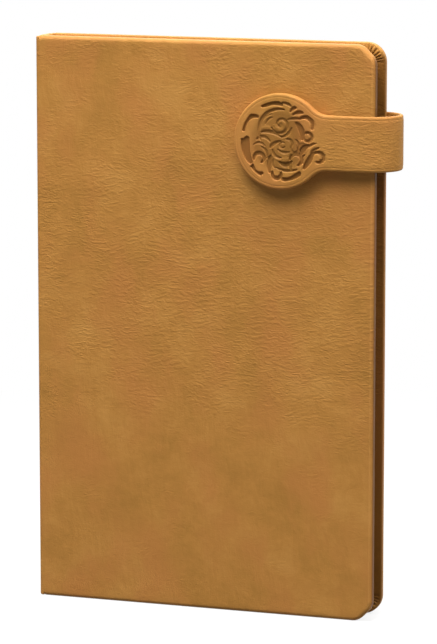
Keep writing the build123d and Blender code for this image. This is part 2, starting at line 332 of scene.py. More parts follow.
@dataclass(frozen=True)
class LeatherFinish:
    """Soft tan leather: faint blotches, patches of short level creases, upright streaks, a satin top."""

    name: str = "tan_leather"
    dark: Colour = srgb(165, 117, 55)
    middle: Colour = srgb(177, 125, 61)
    light: Colour = srgb(187, 135, 69)
    red: Colour = srgb(180, 121, 63)
    burnished: Colour = srgb(200, 195, 189)
    # Painted shade: multiplies the colour on the fore-edge's side, the turn-in in the gap between the covers, and the
    # pleats.
    inner: Colour = srgb(166, 156, 138)
    # Painted highlight: a lighter colour along the start of the fore-edge's rounded edge.
    painted_highlight: Colour = srgb(206, 153, 84)
    roughness: float = 0.5
    gloss: float = 0.10
    fold_depth: float = 0.060
    crease_depth: float = 0.036
    streak_depth: float = 0.12
    mottle_depth: float = 0.11
    pore_depth: float = 0.040

    def crease_lines(self, graph: Graph, flow: bpy.types.NodeSocket, scale: Sequence[float],
                     width: float) -> bpy.types.NodeSocket:
        """Fine lines that wander level across the leather.

        Args:
            graph: The finish being made.
            flow: The drifted grain coordinate.
            scale: Lines per millimetre along and across.
            width: Width of a line, as a share of the noise's range.

        Returns:
            0 in a line and 1 between lines.
        """
        cloud = graph.noise(graph.stretched(flow, scale), 1.0, 2.0, 0.5, 0.25).outputs["Fac"]
        away = graph.math("ABSOLUTE", graph.math("SUBTRACT", cloud, 0.5))
        return graph.between(away, 0.0, width)

    def relief(self, graph: Graph, grain: bpy.types.NodeSocket, flow: bpy.types.NodeSocket,
               creased: bpy.types.NodeSocket) -> bpy.types.NodeSocket:
        """The bumped normal.

        Args:
            graph: The finish being made.
            grain: The grain coordinate.
            flow: The drifted grain coordinate.
            creased: How creased the leather is.

        Returns:
            The normal for the shader.
        """
        cloud = graph.noise(grain, 0.085, 3.0, 0.6).outputs["Fac"]
        patches = graph.between(graph.math("ADD", cloud, creased), 0.82, 1.20, 0.12, 1.0)
        folds = self.crease_lines(graph, flow, (0.25, 0.58, 1.0), 0.19)
        lines = self.crease_lines(graph, flow, (0.46, 1.14, 1.3), 0.24)
        streaks = graph.noise(graph.stretched(flow, (0.62, 0.085, 1.0)), 1.0, 2.0).outputs["Fac"]
        mottles = graph.noise(flow, 0.22, 4.0, 0.6).outputs["Fac"]
        smooth_part = graph.math("SUBTRACT", 1.0, patches)
        pores = graph.noise(grain, 1.7, 2.0, 0.6).outputs["Fac"]
        normal = graph.bump(graph.math("MULTIPLY", folds, patches), self.fold_depth)
        normal = graph.bump(graph.math("MULTIPLY", lines, patches), self.crease_depth, normal)
        normal = graph.bump(graph.math("MULTIPLY", streaks, smooth_part), self.streak_depth, normal)
        normal = graph.bump(mottles, self.mottle_depth, normal)
        return graph.bump(pores, self.pore_depth, normal)

    def material(self) -> bpy.types.Material:
        """Builds the material.

        Returns:
            The leather's node material.
        """
        graph = Graph(self.name, self.roughness, self.gloss)
        grain = graph.grain()
        drift = graph.noise(grain, 0.045, 2.0).outputs["Color"]
        drifted = graph.node("VectorMath", {0: drift, 1: (9.0, 5.0, 0.0), 2: grain}, operation="MULTIPLY_ADD")
        flow = drifted.outputs["Vector"]
        # The attribute holds press, crease share, and painted shade or a painted highlight.
        press_crease_and_painted_light_values = graph.node("Attribute", {}, attribute_name="press_crease_and_painted_light").outputs["Vector"]
        press_crease_and_painted_light = graph.node("SeparateXYZ", {0: press_crease_and_painted_light_values})
        blotches = graph.noise(flow, 0.035, 6.0, 0.74).outputs["Fac"]
        warmth = graph.noise(graph.stretched(flow, (1.0, 0.6, 1.0)), 0.05, 3.0).outputs["Fac"]
        stops = [(0.36, self.dark), (0.50, self.middle), (0.64, self.light)]
        colour = graph.mix(graph.between(warmth, 0.42, 0.70, 0.0, 0.8), graph.ramp(blotches, stops), self.red)
        pressed = graph.mix(1.0, colour, self.burnished, "MULTIPLY")
        worn_colour = graph.mix(press_crease_and_painted_light.outputs["X"], colour, pressed)
        # Painted shade, by the attribute's third value.
        inside = graph.mix(1.0, worn_colour, self.inner, "MULTIPLY")
        shaded = graph.mix(press_crease_and_painted_light.outputs["Z"], worn_colour, inside)
        # Painted highlight where the attribute's third value is below 0.
        painted_highlight_share = graph.between(press_crease_and_painted_light.outputs["Z"], 0.0, -1.0)
        graph.set(colour=graph.mix(painted_highlight_share, shaded, self.painted_highlight))
        graph.set(normal=self.relief(graph, grain, flow, press_crease_and_painted_light.outputs["Y"]))
        return graph.material


@dataclass(frozen=True)
class PlainFinish:
    """A matt fibrous or metal surface with cloudy colour and a fine relief."""

    name: str
    dark: Colour
    light: Colour
    roughness: float
    cloud: float
    relief: float
    metal: float = 0.0
    stretch: tuple[float, float, float] = (1.0, 1.0, 1.0)

    def material(self) -> bpy.types.Material:
        """Builds the material from cloudy noise in object space.

        Returns:
            The node material.
        """
        graph = Graph(self.name, self.roughness)
        place = graph.node("TexCoord", {}).outputs["Object"]
        vector = graph.stretched(place, [part / MM for part in self.stretch])
        cloud = graph.noise(vector, self.cloud, 4.0, 0.6).outputs["Fac"]
        fibre = graph.noise(vector, self.cloud * 9, 2.0).outputs["Fac"]
        graph.set(colour=graph.ramp(cloud, [(0.3, self.dark), (0.7, self.light)]), metal=self.metal)
        graph.set(normal=graph.bump(fibre, self.relief))
        return graph.material


@dataclass(frozen=True)
class PageFinish:
    """Cream paper, ruled with fine level lines inside a margin."""

    name: str = "ruled_paper"
    paper: Colour = srgb(240, 230, 206)
    fleck: Colour = srgb(231, 219, 192)
    ink: Colour = srgb(178, 164, 142)
    line_step: float = 7.0
    line_width: float = 0.22
    head_margin: float = 188.0
    tail_margin: float = 16.0
    side_margin: float = 8.0
    ruled: bool = True

    def material(self, fore_x: float, spine_x: float) -> bpy.types.Material:
        """Builds the material.

        Args:
            fore_x: Where the page ends.
            spine_x: Where the page starts.

        Returns:
            The node material.
        """
        graph = Graph(self.name, 0.85, 0.2)
        grain = graph.grain()
        fibre = graph.noise(grain, 1.2, 4.0, 0.65).outputs["Fac"]
        colour = graph.ramp(fibre, [(0.35, self.fleck), (0.6, self.paper)])
        if self.ruled:
            parts = graph.node("SeparateXYZ", {0: grain})
            step = graph.math("PINGPONG", parts.outputs["Y"], self.line_step / 2)
            line = graph.between(step, self.line_width / 2, self.line_width, 1.0, 0.0)
            for part, low, high in (("Y", self.tail_margin, self.head_margin),
                                    ("X", spine_x + self.side_margin, fore_x - self.side_margin)):
                line = graph.math("MULTIPLY", line, graph.math("GREATER_THAN", parts.outputs[part], low))
                line = graph.math("MULTIPLY", line, graph.math("LESS_THAN", parts.outputs[part], high))
            colour = graph.mix(line, colour, self.ink)
        graph.set(colour=colour, normal=graph.bump(fibre, 0.02))
        return graph.material


@dataclass(frozen=True)
class BandFinish:
    """Woven band in two colours, striped across its length."""

    name: str = "striped_band"
    first: Colour = srgb(150, 92, 40)
    second: Colour = srgb(232, 214, 180)
    stripe: float = 1.2

    def material(self) -> bpy.types.Material:
        """Builds the material.

        Returns:
            The node material.
        """
        graph = Graph(self.name, 0.8, 0.25)
        place = graph.node("SeparateXYZ", {0: graph.node("TexCoord", {}).outputs["Object"]})
        wave = graph.math("PINGPONG", graph.math("DIVIDE", place.outputs["Y"], MM), self.stripe)
        share = graph.between(wave, self.stripe * 0.45, self.stripe * 0.55)
        thread = graph.noise(graph.grain(), 6.0, 2.0).outputs["Fac"]
        graph.set(colour=graph.mix(share, self.first, self.second), normal=graph.bump(thread, 0.05))
        return graph.material


@dataclass(frozen=True)
class Book:
    """The main planes of the closed diary, read from the frame, and a few sizes of its edges."""

    spine_x: float
    fore_x: float
    front_y: float
    front_inner_y: float
    back_inner_y: float
    back_y: float
    head_z: float
    hinge_x: float
    hinge_y: float
    cover_x: float
    spine_front_y: float
    page_spine_x: float
    page_fore_x: float
    square: float
    corner: float = 9.0

    @classmethod
    def from_frame(cls) -> "Book":
        """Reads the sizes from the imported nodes."""
        cover_low, cover_high = span("front_cover_leather")
        back_low, back_high = span("back_cover_leather")
        spine_low, _ = span("spine_leather")
        page_low, page_high = span("section_02")
        hinge = joint_point("front_cover_hinge")
        return cls(spine_x=spine_low[0], fore_x=cover_high[0], front_y=cover_low[1],
                   front_inner_y=cover_high[1], back_inner_y=back_low[1], back_y=back_high[1],
                   head_z=cover_high[2], hinge_x=hinge[0], hinge_y=hinge[1], cover_x=cover_low[0],
                   spine_front_y=spine_low[1], page_spine_x=page_low[0], page_fore_x=page_high[0],
                   square=page_low[2])

    @property
    def edge(self) -> float:
        """Radius of the covers' outer edges, the same as at the spine corners."""
        return self.hinge_x - self.spine_x

    @property
    def cover(self) -> float:
        """Thickness of one cover."""
        return self.front_inner_y - self.front_y


@dataclass(frozen=True)
class EdgeForm:
    """A cover's fore-edge: its corners are soft chamfers, or plain rounds where both radii are the same.

    Attributes:
        radius: Radius of the round that touches a corner's edges and its chamfer.
        bend: Radius where the chamfer meets the straight edges.
        turned_in: Reach of the leather that is turned in round the corner.
        shade: How strongly painted shade darkens the side of the fore-edge, from 0 to 1.
    """

    radius: float
    bend: float
    turned_in: float
    shade: float

    @property
    def start(self) -> float:
        """Distance from the round's centre to where the outline starts to bend."""
        return (self.radius - self.bend) * math.tan(math.pi / 8)

    def places(self, turn: np.ndarray, inset: Any) -> tuple[np.ndarray, np.ndarray]:
        """Places round the corner, from the centre of its round.

        Args:
            turn: Angle round the corner, 0 at the head or tail and a right angle at the fore-edge.
            inset: Distance inside the outline.

        Returns:
            Distances towards the fore-edge, and towards the head or tail.
        """
        late = turn > math.pi / 4
        far = self.radius - self.bend
        across = np.where(late, far, self.start) + (self.bend - inset) * np.sin(turn)
        along = np.where(late, self.start, far) + (self.bend - inset) * np.cos(turn)
        return across, along


@dataclass
class Run:
    """A skin's outer line round spine and cover, seen from the head: one entry per column.

    Attributes:
        place: X and Y of each column.
        normal: Outward direction of each column.
        thick: Thickness of the skin's folded edge at head and tail.
        drop: How far the head and tail edges stand back there.
        turn: Angle round the fore-edge corner, 0 before it.
        turned_in: Reach of the leather that is turned in at head and tail.
        length: Distance along the line, which is the grain's first coordinate.
    """

    place: np.ndarray
    normal: np.ndarray
    thick: np.ndarray
    drop: np.ndarray
    turn: np.ndarray
    turned_in: np.ndarray
    length: np.ndarray


@dataclass
class LeatherCase:
    """The leather over both covers and the spine, with rounded edges and turned-in rims."""

    book: Book
    leather: bpy.types.Material
    roll: float = 1.5
    inner_edge: float = 0.5
    turned_in: float = 7.0
    # The last value of each edge form is the painted shade on its side.
    front_edge: EdgeForm = EdgeForm(9.0, 5.4, 4.0, 1.0)
    back_edge: EdgeForm = EdgeForm(7.2, 7.2, 5.5, 0.1)
    joint_thick: float = 0.95
    joint_drop: float = 0.25
    joint_turned_in: float = 1.2
    spine_thick: float = 2.5
    step: float = 1.25
    corner_steps: int = 45
    row_count: int = 160
    swell: float = 0.10
    swell_length: float = 26.0
    swell_fade: float = 7.0
    pleat_depth: float = 0.45
    pleat_rise: float = 0.35
    pleat_count: float = 7.0
    # Painted shade in the pleats' valleys and deeper in the turned-in corner.
    pleat_painted_shade: float = 0.85
    # Strength, depth and width of a painted highlight near the start of the rounded edge.
    painted_highlight_share: float = 0.35
    painted_highlight_depth: float = 0.03
    painted_highlight_width: float = 0.03
    slit_play: float = 0.15
    slit_depth: float = 1.4

    def creased(self, x: np.ndarray, z: np.ndarray) -> np.ndarray:
        """How creased a cover's leather is: most towards the fore-edge, above the middle.

        Args:
            x, z: Places on the cover.

        Returns:
            Shares from 0 to 1.
        """
        book = self.book
        across = smooth(x, book.spine_x + 5, book.fore_x - 30)
        up = smooth(z, 0.25 * book.head_z, 0.52 * book.head_z)
        down = 1 - 0.5 * smooth(z, 0.72 * book.head_z, 0.9 * book.head_z)
        return 0.33 + 0.34 * across * up * down + 0.21 * up * down

    def edge(self, side: Side) -> EdgeForm:
        """The form of a cover's fore-edge."""
        return self.front_edge if side is Side.FRONT else self.back_edge

    def face_columns(self, side: Side) -> tuple[np.ndarray, np.ndarray, np.ndarray, np.ndarray]:
        """Columns over a cover's face, from its spine corner to the fore-edge.

        Args:
            side: Which cover.

        Returns:
            Place, normal, thickness and corner angle of each column.
        """
        book = self.book
        start = book.hinge_x
        near = start + np.array([0.0, 0.12, 0.24, 0.36, 0.6, 1.0, 1.6, 2.4])
        edge = self.edge(side)
        corner_x = book.fore_x - edge.radius
        bend_x = corner_x + edge.start
        across = np.linspace(near[-1], bend_x, int((bend_x - near[-1]) / self.step))[1:]
        turn = np.linspace(0, math.pi / 2, self.corner_steps + 1)[1:]
        round_x = corner_x + edge.places(turn, self.roll)[0]
        x = np.concatenate([near, across, round_x])
        turns = np.concatenate([np.zeros(len(near) + len(across)), turn])
        y = np.full(len(x), book.front_y if side is Side.FRONT else book.back_y)
        thick = self.joint_thick + (book.cover - self.joint_thick) * smooth(x, start, start + 0.3)
        normal = np.tile((0.0, float(side.value)), (len(x), 1))
        return np.column_stack([x, y]), normal, thick, turns

    def spine_corner(self, side: Side, steps: int = 10) -> tuple[np.ndarray, np.ndarray]:
        """The quarter round from the spine's face to a cover's face.

        Args:
            side: Which cover.
            steps: Number of columns.

        Returns:
            Place and normal of each column.
        """
        book = self.book
        angle = np.linspace(0, math.pi / 2, steps + 1)[:-1]
        normal = np.column_stack([-np.cos(angle), side.value * np.sin(angle)])
        centre_y = book.hinge_y if side is Side.FRONT else book.back_y - book.edge
        return np.array([book.hinge_x, centre_y]) + book.edge * normal, normal

    def run(self, side: Side) -> Run:
        """The whole line of one skin, from the spine's face over its corner to the fore-edge.

        Args:
            side: FRONT for the front cover with its joint, BACK for spine and back cover.

        Returns:
            The columns of the skin.
        """
        book = self.book
        if side is Side.FRONT:
            spine_y = np.linspace(book.spine_front_y, book.hinge_y, 5)[:-1]
            spine_thick = np.full(len(spine_y), self.joint_thick)
        else:
            spine_y = np.linspace(book.spine_front_y, book.back_y - book.edge, 25)[:-1]
            rise = smooth(spine_y, book.spine_front_y, book.spine_front_y + 0.8)
            fall = 1 - smooth(spine_y, book.back_inner_y - 0.6, book.back_inner_y + 0.3)
            spine_thick = self.joint_thick + (self.spine_thick - self.joint_thick) * rise * fall
        spine_place = np.column_stack([np.full(len(spine_y), book.spine_x), spine_y])
        spine_normal = np.tile((-1.0, 0.0), (len(spine_y), 1))
        corner_place, corner_normal = self.spine_corner(side)
        face_place, face_normal, face_thick, face_turn = self.face_columns(side)
        place = np.vstack([spine_place, corner_place, face_place])
        thick = np.concatenate([spine_thick, np.full(len(corner_place), self.joint_thick), face_thick])
        turn = np.concatenate([np.zeros(len(spine_place) + len(corner_place)), face_turn])
        on_spine = (thick - self.joint_thick) / (self.spine_thick - self.joint_thick)
        risen = np.where(place[:, 0] < book.hinge_x, np.clip(on_spine, 0, 1),
                         smooth(place[:, 0], book.hinge_x, book.hinge_x + 1.0))
        steps = np.linalg.norm(np.diff(place, axis=0), axis=1)
        length = np.concatenate([[0.0], np.cumsum(steps)])
        length += book.hinge_x - length[len(spine_place) + len(corner_place)]
        turned_in = np.where(turn > 0, self.edge(side).turned_in, self.turned_in)
        if side is Side.FRONT:
            turned_in = np.where(place[:, 0] < book.cover_x + 0.3, self.joint_turned_in, turned_in)
        return Run(place, np.vstack([spine_normal, corner_normal, face_normal]), thick,
                   self.joint_drop * (1 - risen), turn, turned_in, length)

    def rows(self, marks: Sequence[float] = ()) -> np.ndarray:
        """Heights of the rows of a face, with extra rows at given heights.

        Args:
            marks: Heights that need a row of their own.

        Returns:
            Heights from tail to head.
        """
        book = self.book
        levels = np.linspace(self.roll, book.head_z - self.roll, self.row_count)
        clear = [level for level in levels if all(abs(level - mark) > 0.5 for mark in marks)]
        return np.sort(np.concatenate([clear, marks]))

    def skin(self, side: Side, name: str, grain_layer: float,
             slit: Optional[tuple[float, float, float, float]] = None) -> bpy.types.Object:
        """Builds one skin: a face, its rounded rim and the leather turned in behind it.

        Args:
            side: Which cover.
            name: The piece's name.
            grain_layer: Where its grain pattern is taken.
            slit: X and Z limits of a slot in the face, as x low, x high, z low, z high.

        Returns:
            The skin.
        """
        book, run = self.book, self.run(side)
        outer = np.minimum(book.edge, 0.42 * run.thick)
        roll = self.roll * outer / outer.max()
        low = run.drop + roll
        edge = self.edge(side)
        low = np.where(run.turn > 0, edge.radius - edge.places(run.turn, roll)[1], low)
        levels = self.rows(slit[2:] if slit else ())
        share = (levels - levels[0]) / (levels[-1] - levels[0])
        z = low[:, None] + share[None, :] * (book.head_z - 2 * low)[:, None]
        if slit:
            run = self.with_slit_columns(run, slit)
        points = np.zeros((*z.shape, 3))
        points[..., :2] = run.place[:, None, :]
        points[..., 2] = z
        grain = np.stack([np.broadcast_to(run.length[:, None], z.shape), z], axis=-1)
        draft = MeshDraft(grain_layer)
        self.add_face(draft, points, grain, run, slit)
        self.add_rim(draft, points, grain, run, (outer, roll), edge)
        return draft.build(name, self.leather, 60)

    def with_slit_columns(self, run: Run, slit: tuple[float, float, float, float]) -> Run:
        """Moves the two nearest columns on to the slit's long sides.

        Args:
            run: The skin's columns.
            slit: Limits of the slot.

        Returns:
            The same run with two columns moved.
        """
        first = int(np.argmin(np.abs(run.place[:, 0] - slit[0])))
        for column, x in ((first, slit[0]), (first + 1, slit[1])):
            run.length[column] += x - run.place[column, 0]
            run.place[column, 0] = x
        return run

    def add_face(self, draft: MeshDraft, points: np.ndarray, grain: np.ndarray, run: Run,
                 slit: Optional[tuple[float, float, float, float]]) -> None:
        """Adds the face with its soft swell, and the slit's walls where there is one.

        Args:
            draft: The mesh being made.
            points, grain: The face's grid.
            run: Its columns.
            slit: Limits of a slot, if any.
        """
        book = self.book
        inset = np.minimum(points[..., 2], book.head_z - points[..., 2])
        inset = np.minimum(inset, np.minimum(book.fore_x - points[..., 0], points[..., 0] - book.spine_x))
        fade = smooth(inset, book.edge, book.edge + self.swell_fade)
        swell = 0.5 - 0.5 * ripple(grain[..., 0], grain[..., 1], self.swell_length, 9, 5)
        sunk = points.copy()
        sunk[..., :2] -= (np.clip(swell, 0, 1) * fade * self.swell)[..., None] * run.normal[:, None, :]
        skip = None
        if slit:
            x, z = sunk[..., 0], sunk[..., 2]
            middle_x = (x[:-1, :-1] + x[1:, 1:]) / 2
            middle_z = (z[:-1, :-1] + z[1:, 1:]) / 2
            skip = (middle_x > slit[0]) & (middle_x < slit[1]) & (middle_z > slit[2]) & (middle_z < slit[3])
            skip &= run.normal[:-1, 1, None] > 0.5
            ring = [(slit[0], slit[2]), (slit[1], slit[2]), (slit[1], slit[3]), (slit[0], slit[3])]
            ring.append(ring[0])
            wall = [[(x, book.back_y - depth, z) for x, z in ring] for depth in (0.0, self.slit_depth)]
            draft.grid(np.array(wall))
        draft.grid(sunk, grain, skip, creased=self.creased(sunk[..., 0], sunk[..., 2]))

    def add_rim(self, draft: MeshDraft, points: np.ndarray, grain: np.ndarray, run: Run,
                rounds: tuple[np.ndarray, np.ndarray], edge: EdgeForm) -> None:
        """Adds the rounded edge and the turned-in leather along tail, fore-edge and head.

        Args:
            draft: The mesh being made.
            points, grain: The face's grid.
            run: Its columns.
            rounds: Depth and width of the rounded outer edge at each column.
            edge: The form of the cover's fore-edge.
        """
        columns = np.arange(len(run.turn))
        rows = np.arange(1, points.shape[1] - 1)
        column = np.concatenate([columns, np.full(len(rows), columns[-1]), columns[::-1]])
        row = np.concatenate([np.zeros(len(columns), int), rows,
                              np.full(len(columns), points.shape[1] - 1)])
        turn = run.turn[column]
        up = np.where(row == 0, -np.cos(turn), np.where(row == points.shape[1] - 1, np.cos(turn), 0.0))
        aside = np.where((row > 0) & (row < points.shape[1] - 1), 1.0, np.sin(turn))
        outer, roll = rounds
        reach = np.where(up != 0, run.turned_in[column], self.turned_in)
        section = run.thick[column], outer[column], roll[column]
        away, sunk, walked, shade = self.rim_profile(section, turn * (up != 0), reach)
        base = points[column, row][:, None, :]
        out = np.column_stack([aside, np.zeros(len(turn)), up])[:, None, :]
        inward = np.column_stack([-run.normal[column], np.zeros(len(turn))])[:, None, :]
        rim = base + out * away[..., None] + inward * sunk[..., None]
        flat = grain[column, row][:, None, :] + np.stack([aside, up], axis=-1)[:, None, :] * walked[..., None]
        deep = sunk / run.thick[column][:, None]
        # Painted shade on the fore-edge: the turn-in inside the gap goes dark, and the cover's side by the edge's
        # shade.
        behind = (1 - edge.shade) * smooth(deep, 0.6, 1.0) + edge.shade * smooth(deep, 0.10, 0.42)
        behind *= smooth(aside, 0.75, 1.0)[:, None]
        # Painted highlight in a narrow line where the rounded edge starts, along the fore-edge and round its corners.
        painted_highlight_share = self.painted_highlight_share * np.exp(-(((deep - self.painted_highlight_depth) / self.painted_highlight_width) ** 2)) * smooth(aside, 0.3, 0.8)[:, None]
        draft.grid(rim, flat, creased=self.creased(rim[..., 0], rim[..., 2]),
                   shade=np.maximum(behind, shade) - painted_highlight_share)

    def rim_profile(self, section: tuple[np.ndarray, np.ndarray, np.ndarray], turn: np.ndarray,
                    turned_in: np.ndarray) -> tuple[np.ndarray, np.ndarray, np.ndarray, np.ndarray]:
        """The section of the rim: outer round, edge, inner round and turn-in.

        Args:
            section: Thickness, and depth and width of the rounded outer edge, at each place along the rim.
            turn: Angle round the corner, where the turn-in is gathered in pleats.
            turned_in: Reach of the turn-in.

        Returns:
            Distance outwards, depth behind the face, distance walked and painted shade in the pleats, as places by
            points.
        """
        thick, outer, roll = section
        inner = np.minimum(self.inner_edge, 0.3 * thick)
        bend = np.linspace(0, math.pi / 2, 9)
        away = [roll * math.sin(angle) for angle in bend]
        sunk = [outer * (1 - math.cos(angle)) for angle in bend]
        for share in (0.5, 1.0):
            away.append(roll)
            sunk.append(outer + (thick - inner - outer) * share)
        for angle in np.linspace(0, math.pi / 2, 5)[1:]:
            away.append(roll - inner * (1 - math.cos(angle)))
            sunk.append(thick - inner + inner * math.sin(angle))
        shade = [np.zeros(len(thick))] * len(away)
        gather = np.sqrt(np.clip(np.sin(turn * 2), 0, 1))
        ridge = np.abs(np.sin(turn * 2 * self.pleat_count + 0.6 * np.sin(turn * 5)))
        for share in (0.05, 0.1, 0.16, 0.23, 0.32, 0.43, 0.65, 1.0):
            reach = share * turned_in
            open_part = smooth(reach, 0.1, 0.8) * (1 - smooth(reach, 2.3, 3.0))
            lift = self.pleat_rise * open_part * ridge - self.pleat_depth * smooth(reach, 0.1, 0.8) * (1 - ridge)
            away.append(roll - inner - reach)
            sunk.append(thick + gather * lift)
            # Painted shade in the pleats' valleys, and over the turn-in further from the edge.
            deep = np.maximum(1 - ridge, smooth(reach, 1.2, 2.6))
            shade.append(self.pleat_painted_shade * gather * smooth(reach, 0.3, 1.0) * deep)
        away, sunk = np.stack(away, axis=1), np.stack(sunk, axis=1)
        walk = np.hypot(np.diff(away, axis=1), np.diff(sunk, axis=1))
        walked = np.hstack([np.zeros((len(thick), 1)), np.cumsum(walk, axis=1)])
        return away, sunk, walked, np.stack(shade, axis=1)

    def build(self, slit: tuple[float, float, float, float]) -> None:
        """Makes both skins, ties the back one to the case and hides the nodes they replace.

        Args:
            slit: Limits of the slot that the strap comes out of, in the back cover.
        """
        front = self.skin(Side.FRONT, "front_cover_skin", 0.0)
        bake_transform(front)
        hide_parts("front_cover_leather", "front_joint_leather")
        play = self.slit_play
        slot = (slit[0] - play, slit[1] + play, slit[2] - play, slit[3] + play)
        back = self.skin(Side.BACK, "back_cover_and_spine_skin", 400.0, slot)
        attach(back, Body.CASE.value)
        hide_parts("back_cover_leather", "spine_leather")


@dataclass(frozen=True)
class Mark:
    """One tapering line of the ornament.

    Attributes:
        width: Half its width where it is widest.
        belly: Share of its length where it is widest.
        spread: How far the tool spreads the leather on both sides of the line.
    """

    width: float
    belly: float
    spread: ClassVar[float] = 0.22

    def line(self, share: np.ndarray) -> tuple[np.ndarray, np.ndarray]:
        """Places along the line, from the medallion's centre, by share of its length."""
        raise NotImplementedError

    def inside(self, x: np.ndarray, z: np.ndarray, steps: int = 70) -> np.ndarray:
        """How far inside the line each place is.

        Args:
            x, z: Places from the medallion's centre.
            steps: Points along the line.

        Returns:
            Distances to the line's edge, negative outside it.
        """
        share = np.linspace(0, 1, steps)
        taper = np.where(share < self.belly, share / self.belly, (1 - share) / (1 - self.belly))
        half = self.width * (0.45 + 0.55 * np.sin(taper * math.pi / 2)) + self.spread
        deep = np.full(x.shape, -9.0)
        for px, pz, width in zip(*self.line(share), half):
            deep = np.maximum(deep, width - np.hypot(x - px, z - pz))
        return deep


@dataclass(frozen=True)
class Leaf(Mark):
    """A curved leaf through three places."""

    start: tuple[float, float]
    middle: tuple[float, float]
    end: tuple[float, float]

    def line(self, share: np.ndarray) -> tuple[np.ndarray, np.ndarray]:
        """Places along the leaf."""
        places = []
        for first, halfway, last in zip(self.start, self.middle, self.end):
            pull = 2 * halfway - (first + last) / 2
            places.append((1 - share) ** 2 * first + 2 * share * (1 - share) * pull + share**2 * last)
        return places[0], places[1]


@dataclass(frozen=True)
class Curl(Mark):
    """Part of a spiral.

    Attributes:
        centre: Centre of the spiral.
        radii: Radius at its start and at its end.
        angles: Angle in degrees at its start and at its end.
    """

    centre: tuple[float, float]
    radii: tuple[float, float]
    angles: tuple[float, float]

    def line(self, share: np.ndarray) -> tuple[np.ndarray, np.ndarray]:
        """Places along the curl."""
        angle = np.radians(self.angles[0] + (self.angles[1] - self.angles[0]) * share)
        radius = self.radii[0] + (self.radii[1] - self.radii[0]) * share
        return self.centre[0] + radius * np.cos(angle), self.centre[1] + radius * np.sin(angle)


